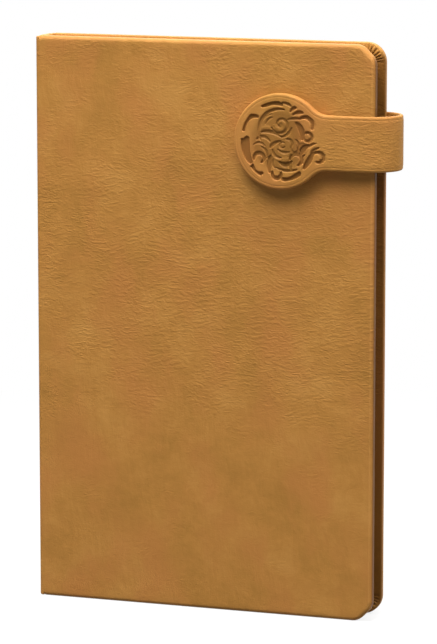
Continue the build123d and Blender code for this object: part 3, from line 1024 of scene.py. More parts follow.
@dataclass
class ScrollOrnament:
    """Leaves and scrolls pressed into the medallion, on a shallow dished ground."""

    depth: float = 0.62
    wall: float = 0.30
    dish: float = 0.18
    dish_radius: float = 10.6
    ridge: float = 0.15
    ground: float = 0.75

    def outer_leaves(self) -> list[Mark]:
        """The large pockets round the border."""
        return [
            Leaf(1.15, 0.28, (-6.3, 12.6), (-3.2, 14.0), (0.8, 13.3)),
            Curl(1.05, 0.62, (-9.4, 4.6), (4.3, 4.2), (75, 192)),
            Leaf(1.75, 0.42, (-12.2, 0.8), (-12.9, -3.2), (-10.9, -7.6)),
            Curl(1.0, 0.35, (-7.7, -9.5), (2.4, 2.4), (165, 300)),
            Leaf(1.2, 0.70, (1.2, -13.4), (5.0, -13.4), (7.6, -11.0)),
            Curl(0.75, 0.5, (9.5, 6.2), (2.8, 3.1), (128, -25)),
            Leaf(1.1, 0.45, (6.4, 6.8), (8.2, 4.4), (8.6, 1.2)),
            Leaf(1.0, 0.5, (8.1, -4.4), (9.0, -2.4), (10.9, -0.9)),
            Leaf(0.95, 0.55, (12.6, -3.6), (11.2, -6.4), (9.4, -9.2)),
        ]

    def fans(self) -> list[Mark]:
        """Short leaves that fan out at the upper right, at the left edge and towards the strap."""
        dots = [Leaf(0.55, 0.5, (-13.2, z), (-14.0, z), (-14.9, z)) for z in (0.2, -1.4, -3.0, -4.6)]
        return dots + [
            Leaf(0.55, 0.5, (1.2, 14.0), (2.6, 13.9), (4.2, 13.0)),
            Leaf(0.60, 0.6, (4.2, 11.0), (5.3, 12.1), (6.3, 12.3)),
            Leaf(0.65, 0.6, (5.2, 9.9), (7.2, 10.7), (8.8, 10.6)),
            Leaf(0.50, 0.5, (3.2, 8.0), (5.8, 8.5), (8.0, 8.3)),
            Leaf(0.42, 0.5, (11.2, -1.6), (12.3, -0.6), (13.6, -0.2)),
            Leaf(0.45, 0.5, (11.9, -3.7), (13.2, -2.5), (14.8, -1.7)),
        ]

    def curls(self) -> list[Mark]:
        """Rings that leave a raised button in their middle."""
        return [
            Curl(0.62, 0.5, (10.6, 2.0), (1.6, 1.5), (150, -190)),
            Curl(0.72, 0.4, (-7.5, -6.3), (2.1, 1.6), (190, -60)),
            Curl(0.75, 0.5, (-0.9, -11.5), (1.8, 1.6), (165, 375)),
            Curl(0.72, 0.4, (6.4, -6.5), (2.3, 1.9), (175, -70)),
            Curl(0.70, 0.45, (14.7, -5.4), (2.2, 1.5), (140, -115)),
            Curl(0.55, 0.5, (5.9, -2.6), (1.3, 1.2), (170, 390)),
        ]

    def grooves(self) -> list[Mark]:
        """The lines that shape the middle: its arched edge, the spiral, stems and leaves."""
        return [
            Curl(0.62, 0.5, (0.6, 4.2), (7.4, 8.6), (82, 205)),
            Curl(0.50, 0.4, (0.5, 6.2), (3.6, 1.0), (200, 580)),
            Leaf(0.60, 0.5, (-6.8, 3.2), (-3.2, 3.4), (0.4, 1.8)),
            Leaf(0.42, 0.5, (-7.2, 6.4), (-5.6, 8.6), (-3.0, 9.8)),
            Leaf(0.38, 0.5, (-5.2, 6.2), (-4.2, 7.8), (-2.6, 8.6)),
            Leaf(0.50, 0.5, (0.8, 1.6), (3.2, 2.8), (4.6, 5.0)),
            Leaf(0.55, 0.5, (-8.6, 0.6), (-6.0, 1.6), (-3.6, 0.0)),
            Leaf(0.40, 0.5, (-9.6, -1.4), (-7.4, -0.6), (-5.4, -1.8)),
            Leaf(0.62, 0.4, (-3.4, -2.2), (-2.0, -0.8), (0.4, 0.2)),
            Curl(0.40, 0.5, (1.2, -1.3), (1.1, 0.9), (60, 330)),
            Leaf(0.55, 0.5, (2.6, 1.0), (4.6, 0.2), (4.4, -2.2)),
            Leaf(0.50, 0.4, (-2.6, -3.0), (-1.6, -5.0), (0.6, -5.8)),
            Leaf(0.45, 0.5, (-0.6, -2.8), (1.4, -3.8), (3.8, -3.6)),
            Leaf(0.85, 0.55, (0.2, -7.4), (2.4, -8.2), (4.6, -7.0)),
            Leaf(0.75, 0.4, (-3.2, -5.2), (-3.9, -8.0), (-3.6, -11.2)),
            Leaf(0.42, 0.5, (-2.2, -6.4), (-2.5, -8.2), (-1.6, -9.6)),
            Leaf(0.50, 0.5, (-6.6, -2.2), (-5.0, -3.6), (-4.6, -6.2)),
            Leaf(0.45, 0.5, (-1.2, -9.4), (2.6, -10.4), (6.6, -9.8)),
            Leaf(0.50, 0.4, (4.6, -10.0), (4.2, -8.8), (4.6, -7.4)),
            Leaf(0.42, 0.5, (6.2, 0.8), (7.2, -0.6), (7.0, -2.8)),
            Leaf(0.36, 0.5, (9.0, -7.6), (8.6, -6.0), (9.6, -4.4)),
        ]

    def ridges(self) -> list[Mark]:
        """Raised stems between the pockets."""
        return [
            Leaf(0.75, 0.5, (-6.0, 11.2), (-2.4, 12.0), (1.4, 11.8)),
            Curl(0.65, 0.4, (0.5, 6.2), (2.4, 0.6), (190, 520)),
            Leaf(0.7, 0.5, (-6.4, 4.6), (-3.4, 4.6), (-0.8, 2.9)),
            Leaf(0.8, 0.5, (-1.0, -6.2), (2.0, -6.7), (4.2, -5.6)),
            Leaf(0.7, 0.5, (7.4, 8.0), (9.2, 6.4), (9.6, 3.8)),
            Leaf(0.6, 0.5, (6.8, -0.6), (8.6, 0.4), (10.4, 0.2)),
        ]

    def dished(self, x: np.ndarray, z: np.ndarray) -> np.ndarray:
        """Share of the dish's depth at each place, from 0 to 1."""
        return 1 - smooth(np.hypot(x, z), self.dish_radius - 1.6, self.dish_radius + 1.6)

    def burnish(self, x: np.ndarray, z: np.ndarray, sunk: np.ndarray) -> np.ndarray:
        """How burnished each place is, from 0 to 1.

        Args:
            x, z: Places from the medallion's centre.
            sunk: Depth there.

        Returns:
            1 on the floor of a pocket, less on the dished ground.
        """
        return np.maximum(np.clip(sunk / self.depth, 0, 1), self.ground * self.dished(x, z))

    def pressed(self, x: np.ndarray, z: np.ndarray) -> np.ndarray:
        """Depth of the whole ornament.

        Args:
            x, z: Places from the medallion's centre.

        Returns:
            Depths in millimetres, 0 outside the ornament.
        """
        sunk = self.dish * self.dished(x, z)
        for mark in self.ridges():
            sunk -= self.ridge * smooth(mark.inside(x, z), -0.2, 0.8 * mark.width)
        sunk = np.clip(sunk, 0, None)
        for mark in [*self.outer_leaves(), *self.fans(), *self.curls(), *self.grooves()]:
            floor = self.depth * min(1.0, 0.5 + 0.6 * mark.width)
            sunk = np.maximum(sunk, floor * smooth(mark.inside(x, z), 0.0, self.wall))
        return sunk


@dataclass
class StrapLine:
    """The strap's unrolled line: from the medallion round the fore-edge to the slit in the back cover."""

    medallion_x: float
    bend_x: float
    bend_y: float
    radius: float
    slit_x: float
    dive: float

    @property
    def front_end(self) -> float:
        """Distance from the medallion's centre to the start of the bend."""
        return self.bend_x - self.medallion_x

    @property
    def rear_start(self) -> float:
        """Distance to the end of the bend, on the back."""
        return self.front_end + math.pi * self.radius

    @property
    def slit(self) -> float:
        """Distance to where the strap turns into the slit."""
        return self.rear_start + self.bend_x - self.slit_x

    def place(self, along: np.ndarray, z: np.ndarray, out: np.ndarray) -> np.ndarray:
        """Bends flat strap coordinates round the book.

        Args:
            along: Distance from the medallion's centre along the strap.
            z: Height.
            out: Distance outwards from the strap's middle surface.

        Returns:
            Places in the row frame, in millimetres.
        """
        along, z, out = np.broadcast_arrays(along, z, out)
        angle = np.clip((along - self.front_end) / self.radius, 0, math.pi)
        x = self.bend_x + (self.radius + out) * np.sin(angle)
        y = self.bend_y - (self.radius + out) * np.cos(angle)
        x = x + np.minimum(along - self.front_end, 0) - np.clip(along - self.rear_start, 0, None)
        past = np.clip((along - self.slit) / self.dive, 0, math.pi / 2)
        deep = np.clip(along - self.slit - self.dive * math.pi / 2, 0, None)
        turned = along > self.slit
        centre_y = self.bend_y + self.radius - self.dive
        x = np.where(turned, self.slit_x - (self.dive + out) * np.sin(past), x)
        y = np.where(turned, centre_y + (self.dive + out) * np.cos(past) - deep, y)
        return np.stack([x, y, z], axis=-1)


@dataclass
class StrapClasp:
    """Strap with turned leather edges, a pressed medallion on its end and a lining behind."""

    leather: bpy.types.Material
    lining: bpy.types.Material
    line: StrapLine
    middle_z: float
    half_width: float
    disc_radius: float
    outer: float
    strap_thick: float
    tab_thick: float
    neck: float = 8.0
    edge_reach: float = 0.85
    dome: float = 0.10
    crease_at: float = 1.30
    crease_depth: float = 0.06
    crease_width: float = 0.20
    rim: float = 2.6
    border_wall: float = 0.35
    back_edge: float = 0.55
    lining_inset: float = 1.7
    lining_proud: float = 0.12

    @classmethod
    def from_frame(cls, leather: bpy.types.Material, lining: bpy.types.Material) -> "StrapClasp":
        """Reads the strap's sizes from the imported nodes.

        Args:
            leather, lining: Finishes of the two sides.

        Returns:
            The strap with its unrolled line.
        """
        tab_low, tab_high = span("tab_face_leather")
        back_low, back_high = span("tab_lining")
        tail_low, tail_high = span("strap_tail_leather")
        lining_low, _ = span("strap_tail_lining")
        rear, front = joint_point("strap_rear_fold"), joint_point("strap_front_fold")
        radius = (rear[1] - front[1]) / 2
        disc_radius = (tab_high[2] - tab_low[2]) / 2
        outer = tail_high[1] - rear[1]
        line = StrapLine(tab_low[0] + disc_radius, front[0], (rear[1] + front[1]) / 2, radius,
                         lining_low[0], outer)
        return cls(leather, lining, line, (tab_high[2] + tab_low[2]) / 2, (tail_high[2] - tail_low[2]) / 2,
                   disc_radius, outer, 2 * outer, back_high[1] - tab_low[1])

    def slit_box(self) -> tuple[float, float, float, float]:
        """X and Z limits of the slot in the back cover."""
        return (self.line.slit_x - self.outer, self.line.slit_x, self.middle_z - self.half_width,
                self.middle_z + self.half_width)

    def thickness(self, along: np.ndarray) -> np.ndarray:
        """Thickness: thick at the medallion, thin along the strap."""
        radius = self.disc_radius
        return self.strap_thick + (self.tab_thick - self.strap_thick) * (
            1 - smooth(along, 0.96 * radius, 1.35 * radius))

    def tab_edge(self, inset: float, end: float, step: float) -> tuple[np.ndarray, np.ndarray]:
        """The upper half of the tab's outline, from the strap to the far side of the medallion.

        Args:
            inset: Distance inside the cut edge.
            end: Where the strap's piece ends, from the medallion's centre.
            step: Distance between points on the medallion.

        Returns:
            Distances along and across the strap.
        """
        radius, half, neck = self.disc_radius, self.half_width, self.neck
        neck_u = math.sqrt((radius + neck) ** 2 - (half + neck) ** 2)
        meet = math.atan2(half + neck, neck_u)
        strap = np.linspace(end, neck_u, int((end - neck_u) / 0.6))[:-1]
        hollow = np.linspace(1.5 * math.pi, math.pi + meet, 20)[:-1]
        disc = np.linspace(meet, math.pi, int((math.pi - meet) * radius / step))
        along = np.concatenate([strap, neck_u + (neck + inset) * np.cos(hollow),
                                (radius - inset) * np.cos(disc)])
        across = np.concatenate([np.full(len(strap), half - inset),
                                 half + neck + (neck + inset) * np.sin(hollow),
                                 (radius - inset) * np.sin(disc)])
        return along, across

    def rim_section(self, thick: np.ndarray) -> tuple[list[float], list[np.ndarray]]:
        """The strap's edge in section: border, crease, rounded edge, side and back.

        Args:
            thick: Thickness at each place along the edge.

        Returns:
            Inset of each point, and its level from the strap's middle surface.
        """
        top = np.full(len(thick), self.outer)
        insets: list[float] = []
        levels: list[np.ndarray] = []
        for inset in np.linspace(self.rim, self.edge_reach, 19):
            crease = self.crease_depth * math.exp(-(((inset - self.crease_at) / self.crease_width) ** 2))
            fall = self.dome * ((self.rim - inset) / (self.rim - self.edge_reach)) ** 2
            insets.append(float(inset))
            levels.append(top - fall - crease)
        for angle in np.linspace(0, math.pi / 2, 9)[1:]:
            insets.append(self.edge_reach * (1 - math.sin(angle)))
            levels.append(top - self.dome - (self.outer - self.dome) * (1 - math.cos(angle)))
        base = self.outer - thick + self.lining_proud
        for angle in np.linspace(0, math.pi / 2, 6):
            insets.append(self.back_edge * (1 - math.cos(angle)))
            levels.append(base + self.back_edge * (1 - math.sin(angle)))
        insets.append(self.rim)
        levels.append(base)
        return insets, levels

    def tab_grid(self, inset: float, end: float, step: float, rows: int) -> tuple[np.ndarray, np.ndarray]:
        """A grid over the tab inside an inset outline, made of rungs across it.

        Args:
            inset: Distance inside the cut edge.
            end: Where the strap's piece ends.
            step: Distance between rungs on the medallion.
            rows: Points on each rung.

        Returns:
            Distances along and across the strap, as rungs by points.
        """
        along, across = self.tab_edge(inset, end, step)
        share = np.linspace(-1, 1, rows)
        return np.broadcast_to(along[:, None], (len(along), rows)), across[:, None] * share[None, :]

    def within_border(self, along: np.ndarray, across: np.ndarray) -> np.ndarray:
        """Where the ornament may lie: 0 at the border of the tab's face, 1 a little inside it.

        Args:
            along, across: The face's grid, as rungs by points.

        Returns:
            Shares from 0 to 1.
        """
        from_disc = self.disc_radius - self.rim - np.hypot(along, across)
        from_side = np.abs(across).max(axis=1, keepdims=True) - np.abs(across)
        room = np.where(along > 0, np.maximum(from_disc, from_side), from_disc)
        return smooth(room, 0.0, self.border_wall)

    def tab_leather(self, end: float) -> bpy.types.Object:
        """The medallion and its strap, up to the middle of the front bend.

        Args:
            end: Where this piece ends along the strap.

        Returns:
            The piece.
        """
        step, rows = 0.18, 180
        draft = MeshDraft(800.0)
        along, across = self.tab_grid(self.rim, end, step, rows)
        ornament = ScrollOrnament()
        sunk = ornament.pressed(along, across) * self.within_border(along, across)
        self.add(draft, along, across, self.outer - sunk, ornament.burnish(along, across, sunk))
        edge_along, _ = self.tab_edge(0, end, step)
        insets, levels = self.rim_section(self.thickness(edge_along))
        loops = [self.tab_edge(inset, end, step) for inset in insets]
        for side in (1, -1):
            self.add(draft, np.stack([u for u, _ in loops]), np.stack([side * v for _, v in loops]),
                     np.stack(levels))
        along, across = self.tab_grid(self.rim, end, step, 12)
        self.add(draft, along, across, self.outer - self.thickness(along) + self.lining_proud)
        return draft.build("medallion_strap_leather", self.leather, 70)

    def tab_lining(self, end: float) -> bpy.types.Object:
        """The lining on the back of the tab.

        Args:
            end: Where this piece ends along the strap.

        Returns:
            The piece.
        """
        along, across = self.tab_grid(self.lining_inset, end, 0.8, 30)
        base = self.outer - self.thickness(along)
        draft = MeshDraft(1200.0)
        flat = np.stack([along, across], axis=-1)
        draft.slab(self.line.place(along, self.middle_z + across, base),
                   self.line.place(along, self.middle_z + across, base + 2 * self.lining_proud), flat)
        return draft.build("medallion_strap_lining", self.lining)

    def add(self, draft: MeshDraft, along: np.ndarray, across: np.ndarray, level: np.ndarray,
            press: Any = 0.0) -> None:
        """Adds a grid given in flat strap coordinates.

        Args:
            draft: The mesh being made.
            along, across, level: Places on the unrolled strap.
            press: How hard each place is pressed in, from 0 to 1.
        """
        place = self.line.place(along, self.middle_z + across, level)
        creased = 0.15 + 0.75 * smooth(along, 0.6 * self.disc_radius, 1.3 * self.disc_radius)
        draft.grid(place, np.stack([along, across], axis=-1), None, press, creased)

    def stretch_leather(self, name: str, start: float, end: float) -> bpy.types.Object:
        """A plain stretch of strap.

        Args:
            name: The piece's name.
            start, end: Where it starts and ends along the strap.

        Returns:
            The piece.
        """
        along = np.linspace(start, end, int((end - start) / 0.45))
        thick = np.full(len(along), self.strap_thick)
        insets, levels = self.rim_section(thick)
        half = self.half_width
        upper = [(half - inset, level) for inset, level in zip(insets, levels)]
        lower = [(-across, level) for across, level in upper[::-1]]
        share = np.linspace(-1, 1, 32)[1:-1]
        top = np.full(len(along), self.outer)
        face = [(across, top) for across in (half - self.rim) * share]
        ring = [*face, *upper, *lower, face[0]]
        draft = MeshDraft(800.0)
        self.add(draft, np.broadcast_to(along, (len(ring), len(along))),
                 np.stack([np.full(len(along), across) for across, _ in ring]),
                 np.stack([level for _, level in ring]))
        return draft.build(name, self.leather, 70)

    def stretch_lining(self, name: str, start: float, end: float) -> bpy.types.Object:
        """The lining behind a plain stretch of strap.

        Args:
            name: The piece's name.
            start, end: Where it starts and ends along the strap.

        Returns:
            The piece.
        """
        along = np.linspace(start, end, int((end - start) / 0.6))[:, None]
        across = np.linspace(-1, 1, 16)[None, :] * (self.half_width - self.lining_inset)
        along, across = np.broadcast_arrays(along, across)
        base = np.full(along.shape, self.outer - self.strap_thick)
        draft = MeshDraft(1200.0)
        flat = np.stack([along, across], axis=-1)
        draft.slab(self.line.place(along, self.middle_z + across, base),
                   self.line.place(along, self.middle_z + across, base + 2 * self.lining_proud), flat)
        return draft.build(name, self.lining)

    def tie(self, piece: bpy.types.Object, bodies: tuple[Body, Body], spots: tuple[float, float],
            nodes: Sequence[str], slot: str) -> None:
        """Fixes a piece where it is made and hides the nodes it stands for.

        Args:
            piece: The piece.
            bodies: Not used.
            spots: Places along the strap where it leaves the first and reaches the second.
            nodes: CAD nodes that it replaces.
            slot: Not used.
        """
        zero = np.zeros(1)
        start, end = (self.line.place(zero + spot, zero + self.middle_z, zero)[0] * MM for spot in spots)
        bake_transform(piece)
        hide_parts(*nodes)

    def build(self) -> None:
        """Makes the strap in three stretches round its bend, and hides the nodes they stand for."""
        line = self.line
        quarter = line.radius * math.pi / 4
        front, rear = line.front_end + quarter, line.rear_start - quarter
        tab = (Body.FRONT_BEND, Body.TAB), (front, line.front_end - quarter)
        loop = (Body.REAR_BEND, Body.FRONT_BEND), (rear, front)
        tail = (Body.CASE, Body.REAR_BEND), (line.rear_start + quarter, rear)
        hidden = line.slit + line.dive * math.pi / 2 + 1.2
        self.tie(self.tab_leather(front), *tab, ["tab_face_leather"], "strap_leather")
        self.tie(self.tab_lining(front), *tab, ["tab_lining"], "lining_leather")
        self.tie(self.stretch_leather("loop_leather", front, rear), *loop,
                 ["front_bend_leather", "rear_bend_leather"], "strap_leather")
        self.tie(self.stretch_lining("loop_lining", front, rear), *loop,
                 ["front_bend_lining", "rear_bend_lining"], "lining_leather")
        self.tie(self.stretch_leather("strap_tail", rear, hidden), *tail, ["strap_tail_leather"],
                 "strap_leather")
        self.tie(self.stretch_lining("strap_tail_back", rear, line.slit - 0.5), *tail,
                 ["strap_tail_lining"], "lining_leather")


@dataclass
class PaperBlock:
    """Sewn sections of ruled leaves, flyleaves, pastedowns and head and tail bands."""

    book: Book
    pages: bpy.types.Material
    endpaper: bpy.types.Material
    band: bpy.types.Material
    sections: int = 8
    folded_sheets: int = 4
    sheet_share: float = 0.8
    corner_steps: int = 8
    uneven: float = 0.22
    seed: int = 4

    @property
    def corner(self) -> float:
        """Radius of the leaves' rounded corners."""
        return self.book.corner - self.book.square

    def leaf_columns(self, start: float, fore: float) -> np.ndarray:
        """X of the columns of a flat leaf, closer together round its corners."""
        bend = fore - self.corner + self.corner * np.sin(np.linspace(0, math.pi / 2, self.corner_steps + 1))
        return np.concatenate([np.linspace(start, bend[0], 26)[:-1], bend])

    def leaf_low(self, x: np.ndarray, fore: float, low: float) -> np.ndarray:
        """Lowest point of a leaf at each X."""
        past = np.clip(x - (fore - self.corner), 0, self.corner)
        return low + self.corner - np.sqrt(self.corner**2 - past**2)

    def sheet(self, draft: MeshDraft, line: np.ndarray, low: np.ndarray, high: np.ndarray,
              thick: float) -> None:
        """Adds a sheet that stands on a line.

        Args:
            draft: The mesh being made.
            line: X and Y of each column.
            low, high: Lowest and highest point of each column.
            thick: The sheet's thickness.
        """
        ahead = np.gradient(line, axis=0)
        ahead /= np.linalg.norm(ahead, axis=1)[:, None]
        aside = np.column_stack([-ahead[:, 1], ahead[:, 0]]) * thick / 2
        z = np.stack([low, high], axis=1)
        faces = []
        for sign in (1, -1):
            face = np.zeros((len(line), 2, 3))
            face[..., :2] = (line + sign * aside)[:, None, :]
            face[..., 2] = z
            faces.append(face)
        draft.slab(faces[0], faces[1])

    def section(self, index: int) -> bpy.types.Object:
        """One sewn section: folded sheets nested in each other.

        Args:
            index: The section's number, from 1 at the front.

        Returns:
            The section.
        """
        low, high = span(f"section_{index:02d}")
        draw = np.random.default_rng(self.seed + index)
        draft = MeshDraft(index * 30.0)
        half = (high[1] - low[1]) / 2
        middle = (high[1] + low[1]) / 2
        pitch = half / self.folded_sheets
        fold_x = low[0] + half
        for sheet in range(self.folded_sheets):
            reach = half - pitch * (sheet + 0.5)
            fore = high[0] - draw.uniform(0, self.uneven)
            flat = self.leaf_columns(fold_x, fore)
            bend = np.linspace(math.pi / 2, 1.5 * math.pi, 9)[1:-1]
            line_x = np.concatenate([flat[::-1], fold_x + reach * np.cos(bend), flat])
            line_y = np.concatenate([np.full(len(flat), reach), reach * np.sin(bend), np.full(len(flat), -reach)])
            bottom = self.leaf_low(np.clip(line_x, fold_x, None), fore, low[2])
            top = low[2] + high[2] - bottom - draw.uniform(0, self.uneven)
            self.sheet(draft, np.column_stack([line_x, middle + line_y]), bottom, top, pitch * self.sheet_share)
        return draft.build(f"leaves_{index:02d}", self.pages, 40)

    def loose_leaf(self, name: str, start: float, y: float, thick: float,
                   material: bpy.types.Material) -> bpy.types.Object:
        """A flat leaf from near the fold to the fore-edge.

        Args:
            name: The piece's name.
            start: X where it starts.
            y: Its middle plane.
            thick: Its thickness.
            material: Its paper.

        Returns:
            The leaf.
        """
        book = self.book
        x = self.leaf_columns(start, book.page_fore_x)
        low = self.leaf_low(x, book.page_fore_x, book.square)
        draft = MeshDraft(abs(y))
        self.sheet(draft, np.column_stack([x, np.full(len(x), y)]), low, book.head_z - low, thick)
        return draft.build(name, material, 40)

    def first_section(self) -> list[bpy.types.Object]:
        """The leaves of the section that turns with the cover, each a piece of its own, spaced evenly through it."""
        low, high = span("section_01")
        leaves = 2 * self.folded_sheets
        pitch = (high[1] - low[1]) / leaves
        made = []
        for index in range(leaves):
            y = low[1] + pitch * (index + 0.5)
            leaf = self.loose_leaf(f"first_section_leaf_{index + 1}", low[0] + 0.25, y,
                                   pitch * self.sheet_share, self.pages)
            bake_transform(leaf)
            made.append(leaf)
        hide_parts("section_01")
        return made

    def flyleaves(self) -> None:
        """The loose half of each endpaper."""
        for node, body in (("front_flyleaf", Body.FLYLEAF), ("back_flyleaf", Body.CASE)):
            low, high = span(node)
            leaf = self.loose_leaf(f"{node}_sheet", low[0], (low[1] + high[1]) / 2, high[1] - low[1],
                                   self.endpaper)
            if body is Body.FLYLEAF:
                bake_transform(leaf)
            else:
                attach(leaf, body.value)
            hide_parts(node)

    def pastedowns(self) -> None:
        """Endpapers glued inside the covers; the front one wraps the cover's edge at the joint."""
        book = self.book
        for node, body in (("front_pastedown", Body.COVER), ("back_pastedown", Body.CASE)):
            low, high = span(node)
            thick, y = high[1] - low[1], (low[1] + high[1]) / 2
            flat = self.leaf_columns(low[0], book.page_fore_x)
            line = np.column_stack([flat, np.full(len(flat), y)])
            if body is Body.COVER:
                edge_x, round_off = book.cover_x + thick / 2, 0.4
                bend = np.linspace(0, math.pi / 2, 7)
                turn = np.column_stack([edge_x + round_off - round_off * np.sin(bend),
                                        y - round_off + round_off * np.cos(bend)])[::-1]
                drop = np.array([[edge_x, book.front_y + 0.9], [edge_x, (book.front_y + y) / 2]])
                line = np.vstack([drop, turn, line])
            bottom = self.leaf_low(np.clip(line[:, 0], low[0], None), book.page_fore_x, low[2])
            draft = MeshDraft(60.0 * abs(y))
            self.sheet(draft, line, bottom, book.head_z - bottom, thick)
            paper = draft.build(f"{node}_paper", self.endpaper, 40)
            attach(paper, body.value)
            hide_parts(node)

    def bands(self) -> None:
        """Ribbed bands over the folds at head and tail."""
        for node in ("headband", "tailband"):
            low, high = span(node)
            up = 1 if node == "headband" else -1
            foot = low[2] if up > 0 else high[2]
            y = np.linspace(low[1], high[1], 100)
            rib = 0.9 + 0.1 * np.abs(np.sin(y * math.pi / 0.6))
            angle = np.linspace(0, math.pi, 13)
            half = (high[0] - low[0]) / 2
            tall = high[2] - low[2]
            points = np.zeros((len(y), len(angle) + 2, 3))
            points[:, 1:-1, 0] = low[0] + half + half * np.cos(angle)[None, :] * rib[:, None]
            points[:, 1:-1, 2] = foot + up * tall * np.sin(angle)[None, :] ** 0.7 * rib[:, None]
            points[:, (0, -1), 0] = (low[0] + half)
            points[:, (0, -1), 2] = foot
            points[..., 1] = y[:, None]
            draft = MeshDraft()
            draft.grid(points)
            for end in (0, -1):
                heart = points[end].mean(axis=0)
                draft.grid(np.stack([points[end], np.broadcast_to(heart, points[end].shape)]))
            band = draft.build(f"{node}_weave", self.band)
            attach(band, Body.CASE.value)
            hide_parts(node)

    def build(self) -> None:
        """Makes all the paper."""
        self.first_section()
        for index in range(2, self.sections + 1):
            leaves = self.section(index)
            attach(leaves, Body.CASE.value)
            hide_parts(f"section_{index:02d}")
        self.flyleaves()
        self.pastedowns()
        self.bands()


@dataclass
class CoverFoam:
    """Thin foam pads under the leather of both covers, thinned out towards their edges."""

    book: Book
    foam: bpy.types.Material
    soft_edge: float = 3.0

    def build(self) -> None:
        """Makes both pads."""
        for node, body in (("front_cover_padding", Body.COVER), ("back_cover_padding", Body.CASE)):
            low, high = span(node)
            radius = self.book.corner - (self.book.fore_x - high[0])
            bend = np.linspace(0, math.pi / 2, 9)
            near = low[0] + np.array([0.0, 0.4, 1.0, 2.0])
            corner_x = high[0] - radius
            x = np.concatenate([near, np.linspace(near[-1], corner_x, 40)[1:],
                                corner_x + radius * np.sin(bend[1:])])
            past = np.clip(x - corner_x, 0, radius)
            bottom = low[2] + radius - np.sqrt(radius**2 - past**2)
            share = np.linspace(0, 1, 60)
            z = bottom[:, None] + share[None, :] * (low[2] + high[2] - 2 * bottom)[:, None]
            inset = np.minimum(np.minimum(z - low[2], high[2] - z), (high[0] - x)[:, None])
            sink = 0.5 * (high[1] - low[1]) * (1 - smooth(inset, 0, self.soft_edge))
            grids = []
            for y, inward in ((low[1], 1.0), (high[1], -1.0)):
                outer_face = (y < 0) == (inward > 0)
                grid = np.zeros((*z.shape, 3))
                grid[..., 0] = x[:, None]
                grid[..., 1] = y + inward * (sink if outer_face else 0.0)
                grid[..., 2] = z
                grids.append(grid)
            draft = MeshDraft()
            draft.slab(grids[0], grids[1])
            pad = draft.build(f"{node}_pad", self.foam)
            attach(pad, body.value)
            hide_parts(node)


class HiddenParts:
    """Boards, spine strips and the clasp's metal, which keep their solids and get a finish."""

    FINISHES = (
        (PlainFinish("grey_board", srgb(142, 132, 118), srgb(168, 158, 142), 0.9, 0.5, 0.05),
         ("front_board", "back_board", "spine_board", "tab_core")),
        (PlainFinish("spine_paper", srgb(226, 214, 188), srgb(240, 230, 208), 0.9, 0.6, 0.02), ("spine_lining",)),
        (PlainFinish("open_gauze", srgb(206, 196, 172), srgb(236, 228, 206), 0.95, 1.6, 0.10), ("spine_gauze",)),
        (PlainFinish("clasp_steel", srgb(176, 178, 180), srgb(204, 205, 206), 0.35, 0.4, 0.01, 1.0, (6, 1, 1)),
         ("front_clasp_plate",)),
        (PlainFinish("dark_magnet", srgb(46, 46, 50), srgb(66, 66, 70), 0.5, 0.8, 0.03), ("tab_magnet",)),
    )

    def build(self) -> None:
        """Gives each node that stays its finish."""
        for finish, nodes in self.FINISHES:
            material = finish.material()
            for node in nodes:
                slots = frame["nodes"][node].data.materials
                slots.clear()
                slots.append(material)
                LOG.info("%s: %s", node, finish.name)


@dataclass(frozen=True)
class Softbox:
    """One square studio light."""

    name: str
    place: tuple[float, float, float]
    side: float
    power: float
    colour: tuple[float, float, float] = (1.0, 1.0, 1.0)


